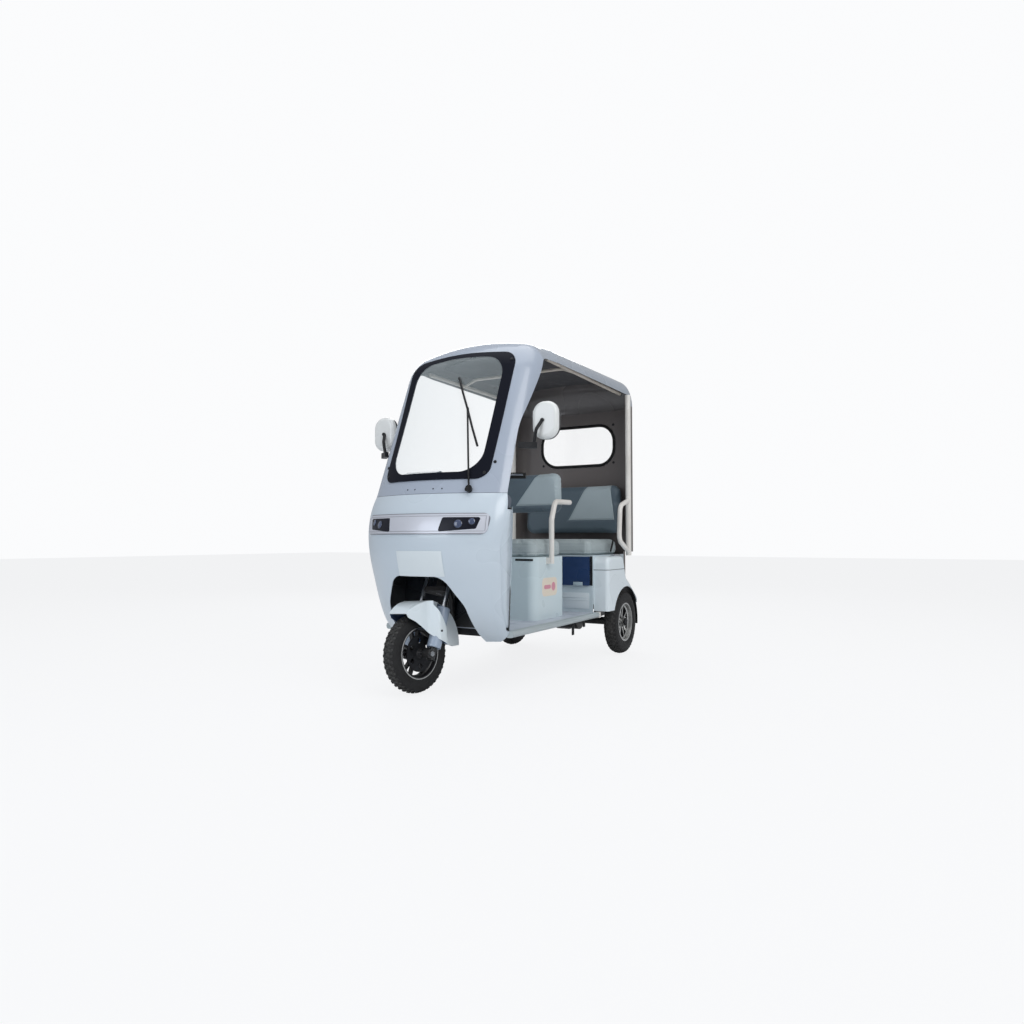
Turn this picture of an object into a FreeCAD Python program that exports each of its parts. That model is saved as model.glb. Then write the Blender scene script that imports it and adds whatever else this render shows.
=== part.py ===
# A light electric passenger tricycle: one steered front wheel under a rounded nose, a raked
# windscreen frame that runs into a domed roof, open sides, a driver's seat on a box and a rear
# bench between two wheel fenders.
# Millimetres. +X is forward, +Y is the vehicle's left, +Z is up. The origin is on the floor,
# midway along the overall length.
import FreeCAD, Part
import math
import os

# Running gear
wheelbase = 1735
rear_track = 843
rear_overhang = 270
front_tyre_radius = 199
front_tyre_width = 80
rear_tyre_radius = 213
rear_tyre_width = 90
rim_radius = 121
rim_lip = 8
rim_wall = 5
axle_radius = 9
hub_radius = 34
spoke_pairs = 5
spoke_width = 13
spoke_spread = 13
spoke_depth = 22
disc_radius = 92
disc_thickness = 4
axle_tube_radius = 26
drum_radius = 62
running_gap = 0.3
seat_gap = 0.3

# Steering
rake = 24
axle_lead = 32
fork_offset = 62
fork_half_width = 86
slider_radius = 19
slider_length = 236
stanchion_radius = 13
cover_radius = 36
cover_foot = 40
cover_top = 252
yoke_thickness = 26
lower_yoke_at = 352
upper_yoke_at = 530
column_radius = 16
head_tube_radius = 27
neck_radius = 17
bar_height = 1085
bar_half_width = 325
bar_radius = 11
bar_sweep = 122
grip_radius = 17
grip_length = 125
rest_steer = -9
front_fender_radius = 230
front_fender_rise = 31
front_fender_setback = 35
front_fender_nose = 39
front_fender_tail = 95
front_fender_wall = 3
front_fender_crown = 60

# Body
skin = 4
sill_half_width = 412
floor_height = 300
floor_thickness = 6
sill_height = 34
sill_width = 40
sill_front = 640
floor_front = 570
floor_back = -492
nose_depth = 330
nose_foot = 248
parting_height = 1008
screen_rake = 24
screen_foot_x = 862
screen_depth = 235
front_bend = 300
back_bend = 200
roof_top = 1913
roof_edge_drop = 131
roof_seam = 330
roof_depth = 175
cab_half_width = 440
cab_crown = 1500
cab_corner = 165
shoulder_x = 165
shoulder_corner = 110
roof_half_width = 462
roof_crown = 2600
roof_corner = 95
foot_crown = 740
foot_corner = 120
wall_gap = 12
wall_foot = 690
wall_wrap = 165
liner = 3
glass_thickness = 5
lamp_plate = 6
pillar_radius = 19
handle_radius = 16

# Seats
seat_height = 771
cushion_thickness = 100
pedestal_front = 140
pedestal_back = -240
pedestal_half_width = 275
bench_front = -470
bench_half_width = 362
bench_back_x = -1012
driver_back_x = -262
fender_front = -505
fender_outer = 469
fender_top = 664
fender_inner = 366
wheel_well_radius = 243
flap_top = 662
flap_bottom = 488
flap_thickness = 14
move_gap = 6

# Frame rails
rail_y = 255
rail_width = 30
rail_height = 50

front_axle_x = (wheelbase + rear_overhang - front_tyre_radius) / 2
rear_axle_x = front_axle_x - wheelbase
tail_x = -(wheelbase + rear_overhang + front_tyre_radius) / 2
wall_x = tail_x + wall_gap
underside = floor_height - floor_thickness
cushion_bottom = seat_height - cushion_thickness
roof_skirt = roof_top - roof_edge_drop
outer_reach = fork_half_width + cover_radius

# The nose, from its lower lip to the parting line. Each row is a level hoop:
# x and z of its foremost point, half width, crown radius of the front, radius of the corner.
NOSE_ROWS = ("x", "z", "half", "crown", "corner")
NOSE = [
    (745, nose_foot, 388, 600, 105),
    (812, nose_foot + 69, 400, 600, 110),
    (870, nose_foot + 180, 408, 605, 115),
    (912, nose_foot + 310, 420, 610, 120),
    (956, parting_height - 238, 440, 620, 130),
    (922, parting_height - 101, 448, 680, 130),
    (screen_foot_x, parting_height, cab_half_width, foot_crown, foot_corner),
]


def vec(x, y, z):
    return FreeCAD.Vector(x, y, z)


UP = vec(0, 0, 1)
RIGHT = vec(0, -1, 0)
ACROSS = vec(0, 1, 0)
FORWARD = vec(1, 0, 0)
ORIGIN = vec(0, 0, 0)


def mirrored(shape):
    return shape.mirror(ORIGIN, ACROSS)


def both(shape):
    return Part.Compound([shape, mirrored(shape)])


def fuse(shapes):
    solid = shapes[0].multiFuse(shapes[1:]) if len(shapes) > 1 else shapes[0]
    return solid.removeSplitter()


def block(x, y, z):
    """A box from three (low, high) pairs."""
    return Part.makeBox(x[1] - x[0], y[1] - y[0], z[1] - z[0], vec(x[0], y[0], z[0]))


def rod(start, end, radius):
    return Part.makeCylinder(radius, (end - start).Length, start, end - start)


def wire_through(points, radii=0):
    """A closed wire through the points, each corner rounded by its radius."""
    if not isinstance(radii, (list, tuple)):
        radii = [radii] * len(points)
    ends = []
    edges = []
    for i, point in enumerate(points):
        before = points[i - 1]
        after = points[(i + 1) % len(points)]
        a = (before - point).normalize()
        b = (after - point).normalize()
        radius = radii[i]
        if radius <= 0:
            ends.append((point, point, None))
            continue
        half = a.getAngle(b) / 2
        cut = radius / math.tan(half)
        middle = point + (a + b).normalize() * (radius / math.sin(half) - radius)
        ends.append((point + a * cut, point + b * cut, middle))
    for i, (start, end, middle) in enumerate(ends):
        if middle is not None:
            edges.append(Part.Arc(start, middle, end).toShape())
        following = ends[(i + 1) % len(ends)][0]
        if (following - end).Length > 1e-6:
            edges.append(Part.LineSegment(end, following).toShape())
    return Part.Wire(edges)


def prism(points, radii, direction):
    return Part.Face(wire_through(points, radii)).extrude(direction)


def side_prism(outline, radii, y0, y1):
    """An outline of (x, z) points, extruded across the vehicle from y0 to y1."""
    return prism([vec(x, y0, z) for x, z in outline], radii, vec(0, y1 - y0, 0))


def front_prism(outline, radii, x0, x1):
    """An outline of (y, z) points, extruded along the vehicle from x0 to x1."""
    return prism([vec(x0, y, z) for y, z in outline], radii, vec(x1 - x0, 0, 0))


def plan_prism(outline, radii, z0, z1):
    """An outline of (x, y) points, extruded upwards from z0 to z1."""
    return prism([vec(x, y, z0) for x, y in outline], radii, vec(0, 0, z1 - z0))


def bent_tube(points, radius, bend):
    """A round bar along straight runs joined by tangent arcs."""
    edges = []
    start = points[0]
    for i in range(1, len(points) - 1):
        corner = points[i]
        a = (points[i - 1] - corner).normalize()
        b = (points[i + 1] - corner).normalize()
        half = a.getAngle(b) / 2
        cut = bend / math.tan(half)
        middle = corner + (a + b).normalize() * (bend / math.sin(half) - bend)
        edges.append(Part.LineSegment(start, corner + a * cut).toShape())
        edges.append(Part.Arc(corner + a * cut, middle, corner + b * cut).toShape())
        start = corner + b * cut
    edges.append(Part.LineSegment(start, points[-1]).toShape())
    path = Part.Wire(edges)
    section = Part.Wire(Part.Circle(points[0], points[1] - points[0], radius).toShape())
    return path.makePipeShell([section], True, True)


def hoop(at, lean, half, crown, corner, depth, inset=0):
    """A closed hoop of the body: crowned front, two corner arcs, straight sides and back.
    It lies in a plane that leans by so many degrees, with its foremost point at (x, z)."""
    lean = math.radians(lean)
    inward = vec(-math.cos(lean), 0, -math.sin(lean))
    front = vec(at[0], 0, at[1]) + inward * inset
    half = half - inset
    crown = crown - inset
    corner = corner - inset
    corner_y = half - corner
    corner_u = crown - math.sqrt((crown - corner) ** 2 - corner_y**2)
    reach = crown / (crown - corner)
    turn = (math.atan2(corner_y, crown - corner_u) + math.pi / 2) / 2

    def place(u, y):
        return front + inward * u + ACROSS * y

    def join(sign):
        return place(crown + (corner_u - crown) * reach, sign * corner_y * reach)

    def bulge(sign):
        u = corner_u - corner * math.cos(turn)
        return place(u, sign * (corner_y + corner * math.sin(turn)))

    side = [place(corner_u, sign * half) for sign in (-1, 1)]
    back = [place(depth, sign * half) for sign in (-1, 1)]
    edges = [
        Part.LineSegment(back[0], side[0]).toShape(),
        Part.Arc(side[0], bulge(-1), join(-1)).toShape(),
        Part.Arc(join(-1), place(0, 0), join(1)).toShape(),
        Part.Arc(join(1), bulge(1), side[1]).toShape(),
        Part.LineSegment(side[1], back[1]).toShape(),
        Part.LineSegment(back[1], back[0]).toShape(),
    ]
    return Part.Wire(edges)


def nose_solid(inset=0, depth=nose_depth):
    hoops = []
    for row in NOSE:
        s = dict(zip(NOSE_ROWS, row))
        hoops.append(hoop((s["x"], s["z"]), 0, s["half"], s["crown"], s["corner"], depth, inset))
    return Part.makeLoft(hoops, True, False)


def roof_hoop(at, lean, depth, inset):
    """The hoop of the roof's back bend and of the rear wall."""
    return hoop(at, lean, roof_half_width, roof_crown, roof_corner, depth, inset)


def along_rake(height):
    """The point of the windscreen's middle line, before any bend, at a height."""
    slope = math.tan(math.radians(screen_rake))
    return (screen_foot_x - (height - parting_height) * slope, height)


def screen_top():
    """Where the windscreen's middle line passes into the front bend, and the bend's centre."""
    tangent = front_bend * math.tan(math.radians(90 - screen_rake) / 2)
    corner = along_rake(roof_top)
    lean = math.radians(screen_rake)
    start = (corner[0] + tangent * math.sin(lean), corner[1] - tangent * math.cos(lean))
    return start, vec(corner[0] - tangent, 0, roof_top - front_bend)


def screen_solid(inset=0, depth=screen_depth):
    """The raked part of the cab, from the level parting line up, and its front bend."""
    start, centre = screen_top()
    foot = hoop((screen_foot_x, parting_height), 0, cab_half_width, foot_crown, foot_corner,
                depth, inset)
    head = hoop(start, screen_rake, cab_half_width, cab_crown, cab_corner, depth, inset)
    raked = Part.makeLoft([foot, head], True, True)
    bend_depth = min(depth, front_bend - 20)
    bend = hoop(start, screen_rake, cab_half_width, cab_crown, cab_corner, bend_depth, inset)
    bend = Part.Face(bend).revolve(centre, RIGHT, 90 - screen_rake)
    return raked, bend


def roof_solid(inset=0, depth=roof_depth):
    """The shoulder behind the front bend, the level roof that widens to the rear, the back bend."""
    start = (screen_top()[1].x, roof_top)
    back = (wall_x + back_bend, roof_top)
    front_depth = depth + screen_depth - roof_depth
    front = hoop(start, 90, cab_half_width, cab_crown, cab_corner, front_depth, inset)
    share = (start[0] - shoulder_x) / (start[0] - back[0])
    half = cab_half_width + (roof_half_width - cab_half_width) * share
    crown = cab_crown + (roof_crown - cab_crown) * share
    shoulder = hoop((shoulder_x, roof_top), 90, half, crown, shoulder_corner, depth, inset)
    rear = roof_hoop(back, 90, depth, inset)
    bend = Part.Face(rear).revolve(vec(back[0], 0, roof_top - back_bend), RIGHT, 90)
    return (Part.makeLoft([front, shoulder], True, True),
            Part.makeLoft([shoulder, rear], True, True), bend)


def wall_solid(inset=0, depth=roof_depth):
    top = roof_top - back_bend
    face = Part.Face(roof_hoop((wall_x, top), 180, depth, inset))
    return face.extrude(vec(0, 0, wall_foot - top))


# The steering axis, and places on the fork measured along it, ahead of the axle and sideways.
LEAN = math.radians(rake)
CLIMB = vec(-math.sin(LEAN), 0, math.cos(LEAN))
AHEAD = vec(math.cos(LEAN), 0, math.sin(LEAN))
FRONT_AXLE = vec(front_axle_x, 0, front_tyre_radius)


def on_fork(up, ahead=0, across=0):
    return FRONT_AXLE + CLIMB * up + AHEAD * ahead + ACROSS * across


def steered(shape):
    """Turns what was built straight ahead to the angle at which the vehicle is parked."""
    turned = shape.copy()
    turned.rotate(on_fork(0, -fork_offset), CLIMB, rest_steer)
    return turned


def tyre(centre, radius, width):
    """A tyre with rounded shoulders and a crowned tread, round an axle across the vehicle."""
    half = width / 2
    bead = rim_radius + 1
    shoulder = radius - 0.14 * half * 2

    def at(y, r):
        return centre + vec(0, y, r)

    edges = [
        Part.Arc(at(-0.74 * half, bead), at(-half, (bead + shoulder) / 2), at(-0.8 * half, shoulder)),
        Part.Arc(at(-0.8 * half, shoulder), at(0, radius), at(0.8 * half, shoulder)),
        Part.Arc(at(0.8 * half, shoulder), at(half, (bead + shoulder) / 2), at(0.74 * half, bead)),
        Part.LineSegment(at(0.74 * half, bead), at(-0.74 * half, bead)),
    ]
    face = Part.Face(Part.Wire([edge.toShape() for edge in edges]))
    return face.revolve(centre, ACROSS, 360)


def ring(centre, outline, angle=360, start=0):
    """An outline of (y, radius) points, turned about an axle across the vehicle."""
    face = Part.Face(wire_through([centre + vec(0, y, r) for y, r in outline]))
    face.rotate(centre, ACROSS, start)
    return face.revolve(centre, RIGHT, angle)


def spoke(centre, side):
    """One of a pair of spokes: a tapered bar that leans away from its twin."""
    foot = side * spoke_width * 0.55
    tip = side * (spoke_spread + spoke_width)
    half = spoke_width / 2
    outline = [
        (foot - half, hub_radius - 6),
        (foot + half, hub_radius - 6),
        (tip + half, rim_radius - rim_wall + 1),
        (tip - half, rim_radius - rim_wall + 1),
    ]
    points = [centre + vec(x, -spoke_depth / 2, z) for x, z in outline]
    return prism(points, 0, vec(0, spoke_depth, 0))


def cast_wheel(centre, width):
    """A cast rim with a lip each side, a hub with a bore, and pairs of spokes."""
    half = 0.74 * width / 2
    inner = rim_radius - rim_wall
    lip = rim_radius + rim_lip
    outline = [
        (-half - 6, inner + 4), (-half - 6, lip), (-half - 0.5, lip), (-half - 0.5, rim_radius),
        (-half * 0.4, rim_radius), (-half * 0.3, rim_radius - 7), (half * 0.3, rim_radius - 7),
        (half * 0.4, rim_radius), (half + 0.5, rim_radius), (half + 0.5, lip), (half + 6, lip),
        (half + 6, inner + 4), (half * 0.5, inner), (half * 0.35, inner - 7),
        (-half * 0.35, inner - 7), (-half * 0.5, inner),
    ]
    rim = ring(centre, outline)
    hub = ring(centre, [(-half, 0), (half, 0), (half, hub_radius), (-half, hub_radius)])
    pieces = [rim, hub]
    for i in range(spoke_pairs):
        for side in (-1, 1):
            bar = spoke(centre, side)
            bar.rotate(centre, ACROSS, 360 / spoke_pairs * i)
            pieces.append(bar)
    bore = rod(centre + RIGHT * width, centre - RIGHT * width, axle_radius + running_gap)
    return fuse(pieces).cut(bore)


def brake_disc(centre, y):
    """A drilled disc on the side of the hub."""
    disc = ring(centre, [
        (y, hub_radius - 8), (y + disc_thickness, hub_radius - 8),
        (y + disc_thickness, disc_radius), (y, disc_radius),
    ])
    holes = []
    for i in range(6):
        hole = rod(vec(centre.x, y - 5, centre.z + 64), vec(centre.x, y + 10, centre.z + 64), 13)
        hole.rotate(centre, ACROSS, 60 * i)
        holes.append(hole)
    return disc.cut(holes)


def front_wheel():
    half = 0.74 * front_tyre_width / 2
    rim = cast_wheel(FRONT_AXLE, front_tyre_width)
    return {
        "front_tyre": tyre(FRONT_AXLE, front_tyre_radius, front_tyre_width).cut(rim),
        "front_rim": rim,
        "front_disc": brake_disc(FRONT_AXLE, half),
    }


def rear_wheel():
    centre = vec(rear_axle_x, rear_track / 2, rear_tyre_radius)
    rim = cast_wheel(centre, rear_tyre_width)
    return {
        "rear_tyre": tyre(centre, rear_tyre_radius, rear_tyre_width).cut(rim),
        "rear_rim": rim,
    }


def fork():
    """Sliders under round covers, stanchions, yokes, column and the axle ahead of the legs."""
    reach = outer_reach
    axle = rod(FRONT_AXLE - ACROSS * (reach - 4), FRONT_AXLE + ACROSS * (reach - 4), axle_radius)
    legs = []
    covers = []
    tubes = []
    for side in (-1, 1):
        y = side * fork_half_width
        leg = rod(on_fork(-24, -axle_lead, y), on_fork(slider_length, -axle_lead, y), slider_radius)
        lug = rod(FRONT_AXLE + ACROSS * (y - 19), FRONT_AXLE + ACROSS * (y + 19), 22)
        hollow = rod(on_fork(120, -axle_lead, y), on_fork(slider_length + 5, -axle_lead, y),
                     stanchion_radius)
        legs.append(fuse([leg, lug]).cut([hollow, axle]))
        tubes.append(rod(on_fork(120, -axle_lead, y), on_fork(upper_yoke_at + 8, -axle_lead, y),
                         stanchion_radius))
        cover = rod(on_fork(cover_foot, -axle_lead, y), on_fork(cover_top, -axle_lead, y), cover_radius)
        cover = cover.makeFillet(6, [cover.Edges[0]])
        covers.append(cover.cut([legs[-1], tubes[-1], lug]))
    column_top = column_end()
    column_foot = on_fork(lower_yoke_at - yoke_thickness / 2, -fork_offset)
    column = rod(column_foot, column_top, column_radius)
    yokes = []
    for at in (lower_yoke_at, upper_yoke_at):
        low = at - yoke_thickness / 2
        front = -axle_lead + 22
        back = -fork_offset - 28
        half = fork_half_width + stanchion_radius + 8
        outline = [(back, -26), (back, 26), (front, half), (front, -half)]
        points = [on_fork(low, ahead, across) for ahead, across in outline]
        slab = prism(points, [18, 18, 20, 20], CLIMB * yoke_thickness)
        yokes.append(slab.cut(tubes + [column]))
    return {
        "front_axle": axle,
        "fork_sliders": Part.Compound(legs),
        "fork_covers": Part.Compound(covers),
        "fork_stanchions": Part.Compound(tubes),
        "fork_yokes": Part.Compound(yokes),
        "steering_column": column,
    }


def column_end():
    """The top of the column, just under the handlebar's clamp."""
    rise = (bar_height - 22 - on_fork(0, -fork_offset).z) / math.cos(LEAN)
    return on_fork(rise, -fork_offset)


# The front fender in plan: how far each point stands ahead of the axle, and its half width.
FENDER_PLAN = [(142, 50), (27, 80), (-21, 84), (-57, 128), (-112, 128), (-138, 60), (-300, 60)]
# The lower edge of its side, from the front: ahead of the axle, and height above the axle.
FENDER_EDGE = [(98, 186), (57, 163), (-12, 105), (-50, 68), (-108, 36), (-143, 36), (-213, 10)]
# The edge above which the fork's covers stand free and only the crown of the guard goes on.
FENDER_RELIEF = [(-36, 300), (-39, 240), (-85, 160), (-113, 97), (-300, 97), (-300, 300)]


def front_fender():
    """A moulded guard: a crown over the wheel, and skirts that lap the foot of the covers."""
    centre = FRONT_AXLE + vec(-front_fender_setback, 0, front_fender_rise)

    def on_arch(angle, radius):
        turn = math.radians(angle)
        return centre + vec(radius * math.sin(turn), 0, radius * math.cos(turn))

    def arch(inset, drop):
        radius = front_fender_radius - inset
        nose = on_arch(front_fender_nose, radius)
        tail = on_arch(-front_fender_tail, radius)
        top = on_arch((front_fender_nose - front_fender_tail) / 2, radius)
        edge = [FRONT_AXLE + vec(x, 0, z - drop) for x, z in FENDER_EDGE]
        inner_tail = tail + vec(2, 0, 0)
        corners = [nose, nose - vec(0, 0, drop)] if drop else [nose]
        corners += edge + [inner_tail - vec(0, 0, drop)]
        edges = [Part.Arc(tail, top, nose).toShape()]
        for start, end in zip(corners, corners[1:] + [tail]):
            edges.append(Part.LineSegment(start, end).toShape())
        face = Part.Face(Part.Wire(edges))
        face.translate(ACROSS * -200)
        return face.extrude(ACROSS * 400)

    def plan(inset):
        near = [(FRONT_AXLE.x + x, y - inset) for x, y in FENDER_PLAN]
        ends = (near[0][0] + 20, near[-1][0] - 20)
        near = [(ends[0], near[0][1])] + near[1:-1] + [(ends[1], near[-1][1])]
        far = [(x, -y) for x, y in near[::-1]]
        radii = [0, 60, 30, 24, 24, 14, 0]
        return plan_prism(near + far, radii + radii[::-1], 100, 600)

    def crown(inset):
        half = front_fender_crown - inset
        return block((FRONT_AXLE.x - 400, FRONT_AXLE.x + 20), (-half, half), (100, 600))

    def relief(grow):
        outline = [(FRONT_AXLE.x + x + grow, FRONT_AXLE.z + z - grow) for x, z in FENDER_RELIEF]
        return side_prism(outline, 0, -200, 200)

    wall = front_fender_wall
    skirts = arch(0, 0).common(plan(0)).cut(relief(0))
    outer = fuse([skirts, arch(0, 0).common(plan(0)).common(crown(0))])
    hollow = arch(wall, 60).common(plan(wall))
    shell = outer.cut([hollow.cut(relief(wall)), hollow.common(crown(wall))])
    gap = [rod(on_fork(cover_foot - 40, -axle_lead, y), on_fork(cover_top + 60, -axle_lead, y),
               cover_radius + seat_gap) for y in (-fork_half_width, fork_half_width)]
    return shell.cut(gap)


def handlebar():
    top = column_end()
    x = top.x - 22 * math.tan(LEAN)
    end = bar_half_width
    path = [
        vec(x - bar_sweep, -end, bar_height + 20), vec(x - 40, -end + 150, bar_height + 32),
        vec(x, -70, bar_height), vec(x, 70, bar_height),
        vec(x - 40, end - 150, bar_height + 32), vec(x - bar_sweep, end, bar_height + 20),
    ]
    bar = bent_tube(path, bar_radius, 45)
    clamp = side_prism(
        [(x - 24, bar_height - 22), (x + 24, bar_height - 22), (x + 24, bar_height + 18),
         (x - 24, bar_height + 18)], 8, -42, 42)
    clamp = clamp.cut([rod(vec(x, -70, bar_height), vec(x, 70, bar_height), bar_radius),
                       rod(column_end() - CLIMB * 80, column_end(), column_radius)])
    grips = []
    levers = []
    for side in (-1, 1):
        tip = vec(x - bar_sweep, side * end, bar_height + 20)
        root = vec(x - 40, side * (end - 150), bar_height + 32)
        along = (root - tip).normalize()
        start = tip + along * 2
        grip = rod(start, start + along * grip_length, grip_radius)
        grips.append(grip.cut(rod(start - along * 5, start + along * 150, bar_radius)))
        mount = start + along * (grip_length + 4)
        holder = rod(mount, mount + along * 16, grip_radius + 2)
        holder = holder.cut(rod(mount - along * 5, mount + along * 30, bar_radius))
        ahead = along.cross(UP) * side
        ahead = ahead if ahead.x > 0 else ahead * -1
        pivot = mount + along * 8 + ahead * 16
        blade = bent_tube([pivot, pivot + ahead * 26 - along * 30,
                           pivot + ahead * 26 - along * 130], 5, 22)
        levers.append(fuse([holder, blade]))
    return {
        "handlebar": bar,
        "bar_clamp": clamp,
        "grips": Part.Compound(grips),
        "brake_levers": Part.Compound(levers),
    }


def chassis_frame():
    """Two rails with a kick over the rear axle, cross members, and a neck up to the head tube."""
    top = underside
    low = top - rail_height
    high = top + 56
    back = tail_x + 62
    outline = [
        (floor_front - 30, low), (floor_front - 30, top), (floor_back - 8, top),
        (floor_back - 75, high), (back, high), (back, high - rail_height),
        (floor_back - 90, high - rail_height), (floor_back - 23, low),
    ]
    rails = [side_prism(outline, 0, side * rail_y - rail_width / 2, side * rail_y + rail_width / 2)
             for side in (-1, 1)]
    crosses = []
    for x, z in ((floor_front - 60, top), (150, top), (-230, top), (floor_back - 130, high), (back, high)):
        crosses.append(block((x, x + 40), (-rail_y, rail_y), (z - 40, z)))
    outriggers = []
    for x in (floor_front - 60, 150, -230):
        reach = sill_half_width - sill_width
        outriggers.append(block((x, x + 30), (-reach, reach), (top - 25, top)))
    head_middle = (lower_yoke_at + upper_yoke_at) / 2
    reach = (upper_yoke_at - lower_yoke_at - yoke_thickness) / 2 - running_gap
    head = rod(on_fork(head_middle - reach, -fork_offset), on_fork(head_middle + reach, -fork_offset),
               head_tube_radius)
    bore = rod(on_fork(200, -fork_offset), on_fork(700, -fork_offset), column_radius + running_gap)
    return fuse(rails + crosses + outriggers + [head, neck()]).cut(bore)


def neck():
    """The bent tube that rises from the front of the frame to the head tube."""
    z = underside - neck_radius - 2
    x = floor_front + neck_radius + 8
    middle = on_fork((lower_yoke_at + upper_yoke_at) / 2, -fork_offset)
    return bent_tube([vec(floor_front - 85, 0, z), vec(x, 0, z), vec(x, 0, 440), middle],
                     neck_radius, 30)


def rear_axle():
    """The axle tube, the drums at its ends, the gear case and the motor beside it."""
    centre = vec(rear_axle_x, 0, rear_tyre_radius)
    inner = rear_track / 2 - 0.74 * rear_tyre_width / 2 - 3
    tube = rod(centre - ACROSS * (inner - 30), centre + ACROSS * (inner - 30), axle_tube_radius)
    shaft_end = rear_track / 2 + 0.74 * rear_tyre_width / 2 + 4
    shaft = rod(centre - ACROSS * shaft_end, centre + ACROSS * shaft_end, axle_radius)
    pieces = [tube, shaft]
    for side in (-1, 1):
        pieces.append(rod(centre + ACROSS * side * (inner - 34), centre + ACROSS * side * inner,
                          drum_radius))
    case = rod(centre - ACROSS * 45, centre + ACROSS * 45, 74)
    motor_centre = centre + vec(118, 0, 12)
    motor = rod(motor_centre + ACROSS * -30, motor_centre + ACROSS * 175, 66)
    cover = rod(motor_centre + ACROSS * -44, motor_centre + ACROSS * -30, 52)
    return fuse(pieces + [case, motor, cover])


def leaf_spring():
    """A pack of three leaves under the rail, with an eye at each end and a pad on the axle."""
    y = (rail_y - rail_width / 2, rail_y + rail_width / 2)
    low = rear_tyre_radius + axle_tube_radius
    eye_z = underside + 56 - rail_height - 13
    leaves = []
    for i, (reach, lift) in enumerate(((225, eye_z - low - 24), (165, 12), (105, 4))):
        bottom = low + 14 - 7 * i
        ends = [vec(rear_axle_x + side * reach, y[0], bottom + lift) for side in (-1, 1)]
        middle = vec(rear_axle_x, y[0], bottom)
        up = vec(0, 0, 7)
        edges = [
            Part.Arc(ends[0], middle, ends[1]).toShape(),
            Part.LineSegment(ends[1], ends[1] + up).toShape(),
            Part.Arc(ends[1] + up, middle + up, ends[0] + up).toShape(),
            Part.LineSegment(ends[0] + up, ends[0]).toShape(),
        ]
        leaves.append(Part.Face(Part.Wire(edges)).extrude(vec(0, y[1] - y[0], 0)))
    eyes = [rod(vec(rear_axle_x + side * 228, y[0], eye_z), vec(rear_axle_x + side * 228, y[1], eye_z), 13)
            for side in (-1, 1)]
    pad = block((rear_axle_x - 32, rear_axle_x + 32), y, (low, underside + 56 - rail_height - 20))
    return fuse(leaves + eyes + [pad])


def floor_pan():
    half = sill_half_width - sill_width
    return block((floor_back, floor_front), (-half, half), (underside, floor_height))


def sill():
    """A rounded threshold along the edge of the floor, from the nose to the rear fender."""
    half = sill_half_width
    inner = half - sill_width
    top = floor_height + 4
    low = top - sill_height
    outline = [(inner, low), (inner, top), (half, top), (half, low)]
    return front_prism(outline, [4, 6, 14, 16], fender_front + move_gap, sill_front - 1)


def door_edge():
    """The opening of both sides, as an outline of (x, z) points with a radius at each."""
    foot = floor_height - 200
    back = wall_x + wall_wrap
    outline = [
        (sill_front, foot), (sill_front, floor_height + 5), (658, floor_height + 5), (718, 420),
        (790, 740), (720, parting_height - 8), (575, roof_skirt - 397), (395, roof_skirt - 122),
        (322, roof_skirt), (back, roof_skirt), (back, foot),
    ]
    radii = [0, 0, 15, 120, 250, 400, 600, 200, 60, 40, 0]
    return side_prism(outline, radii, -700, 700)


def arch_cut():
    """The opening of the nose round the front wheel, as an outline seen from the front."""
    side = [(285, 200), (262, 300), (238, 440), (150, 588)]
    outline = [(-y, z) for y, z in side] + side[::-1]
    radii = [0, 60, 120, 90]
    return front_prism(outline, radii + radii[::-1], 500, 1200)


def nose_panel():
    shell = nose_solid().cut(nose_solid(skin, nose_depth + 20))
    return shell.cut([door_edge(), arch_cut()])


def pane_cut(above, below, halves, rise, low_radius, high_radius, crown):
    """A pane with a crowned top edge, seen from the front: how far its foot stands above the
    parting line and its head below the roof, and its half width at both."""
    low = parting_height + above
    high = roof_top - below
    foot, head = halves
    outline = [(-foot, low), (-head, high), (0, high + rise), (head, high), (foot, low)]
    radii = [low_radius, high_radius, crown, high_radius, low_radius]
    return front_prism(outline, radii, 300, 1100)


def screen_layer(inner, outer):
    """A curved sheet over or under the skin of the windscreen frame."""
    sheets = []
    for big, small in zip(screen_solid(-outer), screen_solid(-inner, screen_depth + 30)):
        sheets.append(big.cut(small))
    return fuse(sheets)


def windscreen():
    """The frame, the clear pane and the black border that holds the pane."""
    shells = []
    for big, small in zip(screen_solid(), screen_solid(skin, screen_depth + 30)):
        shells.append(big.cut(small))
    frame = fuse(shells)
    beyond = block((-600, roof_seam), (-700, 700), (1200, 2100))
    frame = frame.cut([beyond, door_edge(), pane_cut(97, 139, (312, 325), 26, 80, 90, 1900)])
    layer = screen_layer(0, glass_thickness)
    border_outer = pane_cut(73, 117, (331, 345), 26, 66, 84, 2200)
    clear = pane_cut(112, 145, (284, 288), 24, 112, 118, 1300)
    border = layer.common(border_outer).cut(clear)
    return {
        "windscreen_frame": frame,
        "windscreen_border": border,
        "windscreen_glass": layer.common(clear),
    }


def roof_panel():
    shells = []
    for big, small in zip(roof_solid(), roof_solid(skin, roof_depth + 15)):
        shells.append(big.cut(small))
    front = screen_solid()[1].cut(screen_solid(skin)[1])
    front = front.common(block((-600, roof_seam), (-700, 700), (1200, 2100)))
    return fuse(shells + [front]).cut([door_edge(), both(rear_pillar())])


def rear_window_outline(grow=0):
    """A wide window with round ends, as an outline seen from the front."""
    half = 288 + grow
    low = roof_top - 588 - grow
    high = roof_top - 303 + grow
    outline = [(-half, low), (-half, high), (half, high), (half, low)]
    return front_prism(outline, 120 + grow, wall_x - 60, wall_x + 120)


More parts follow.
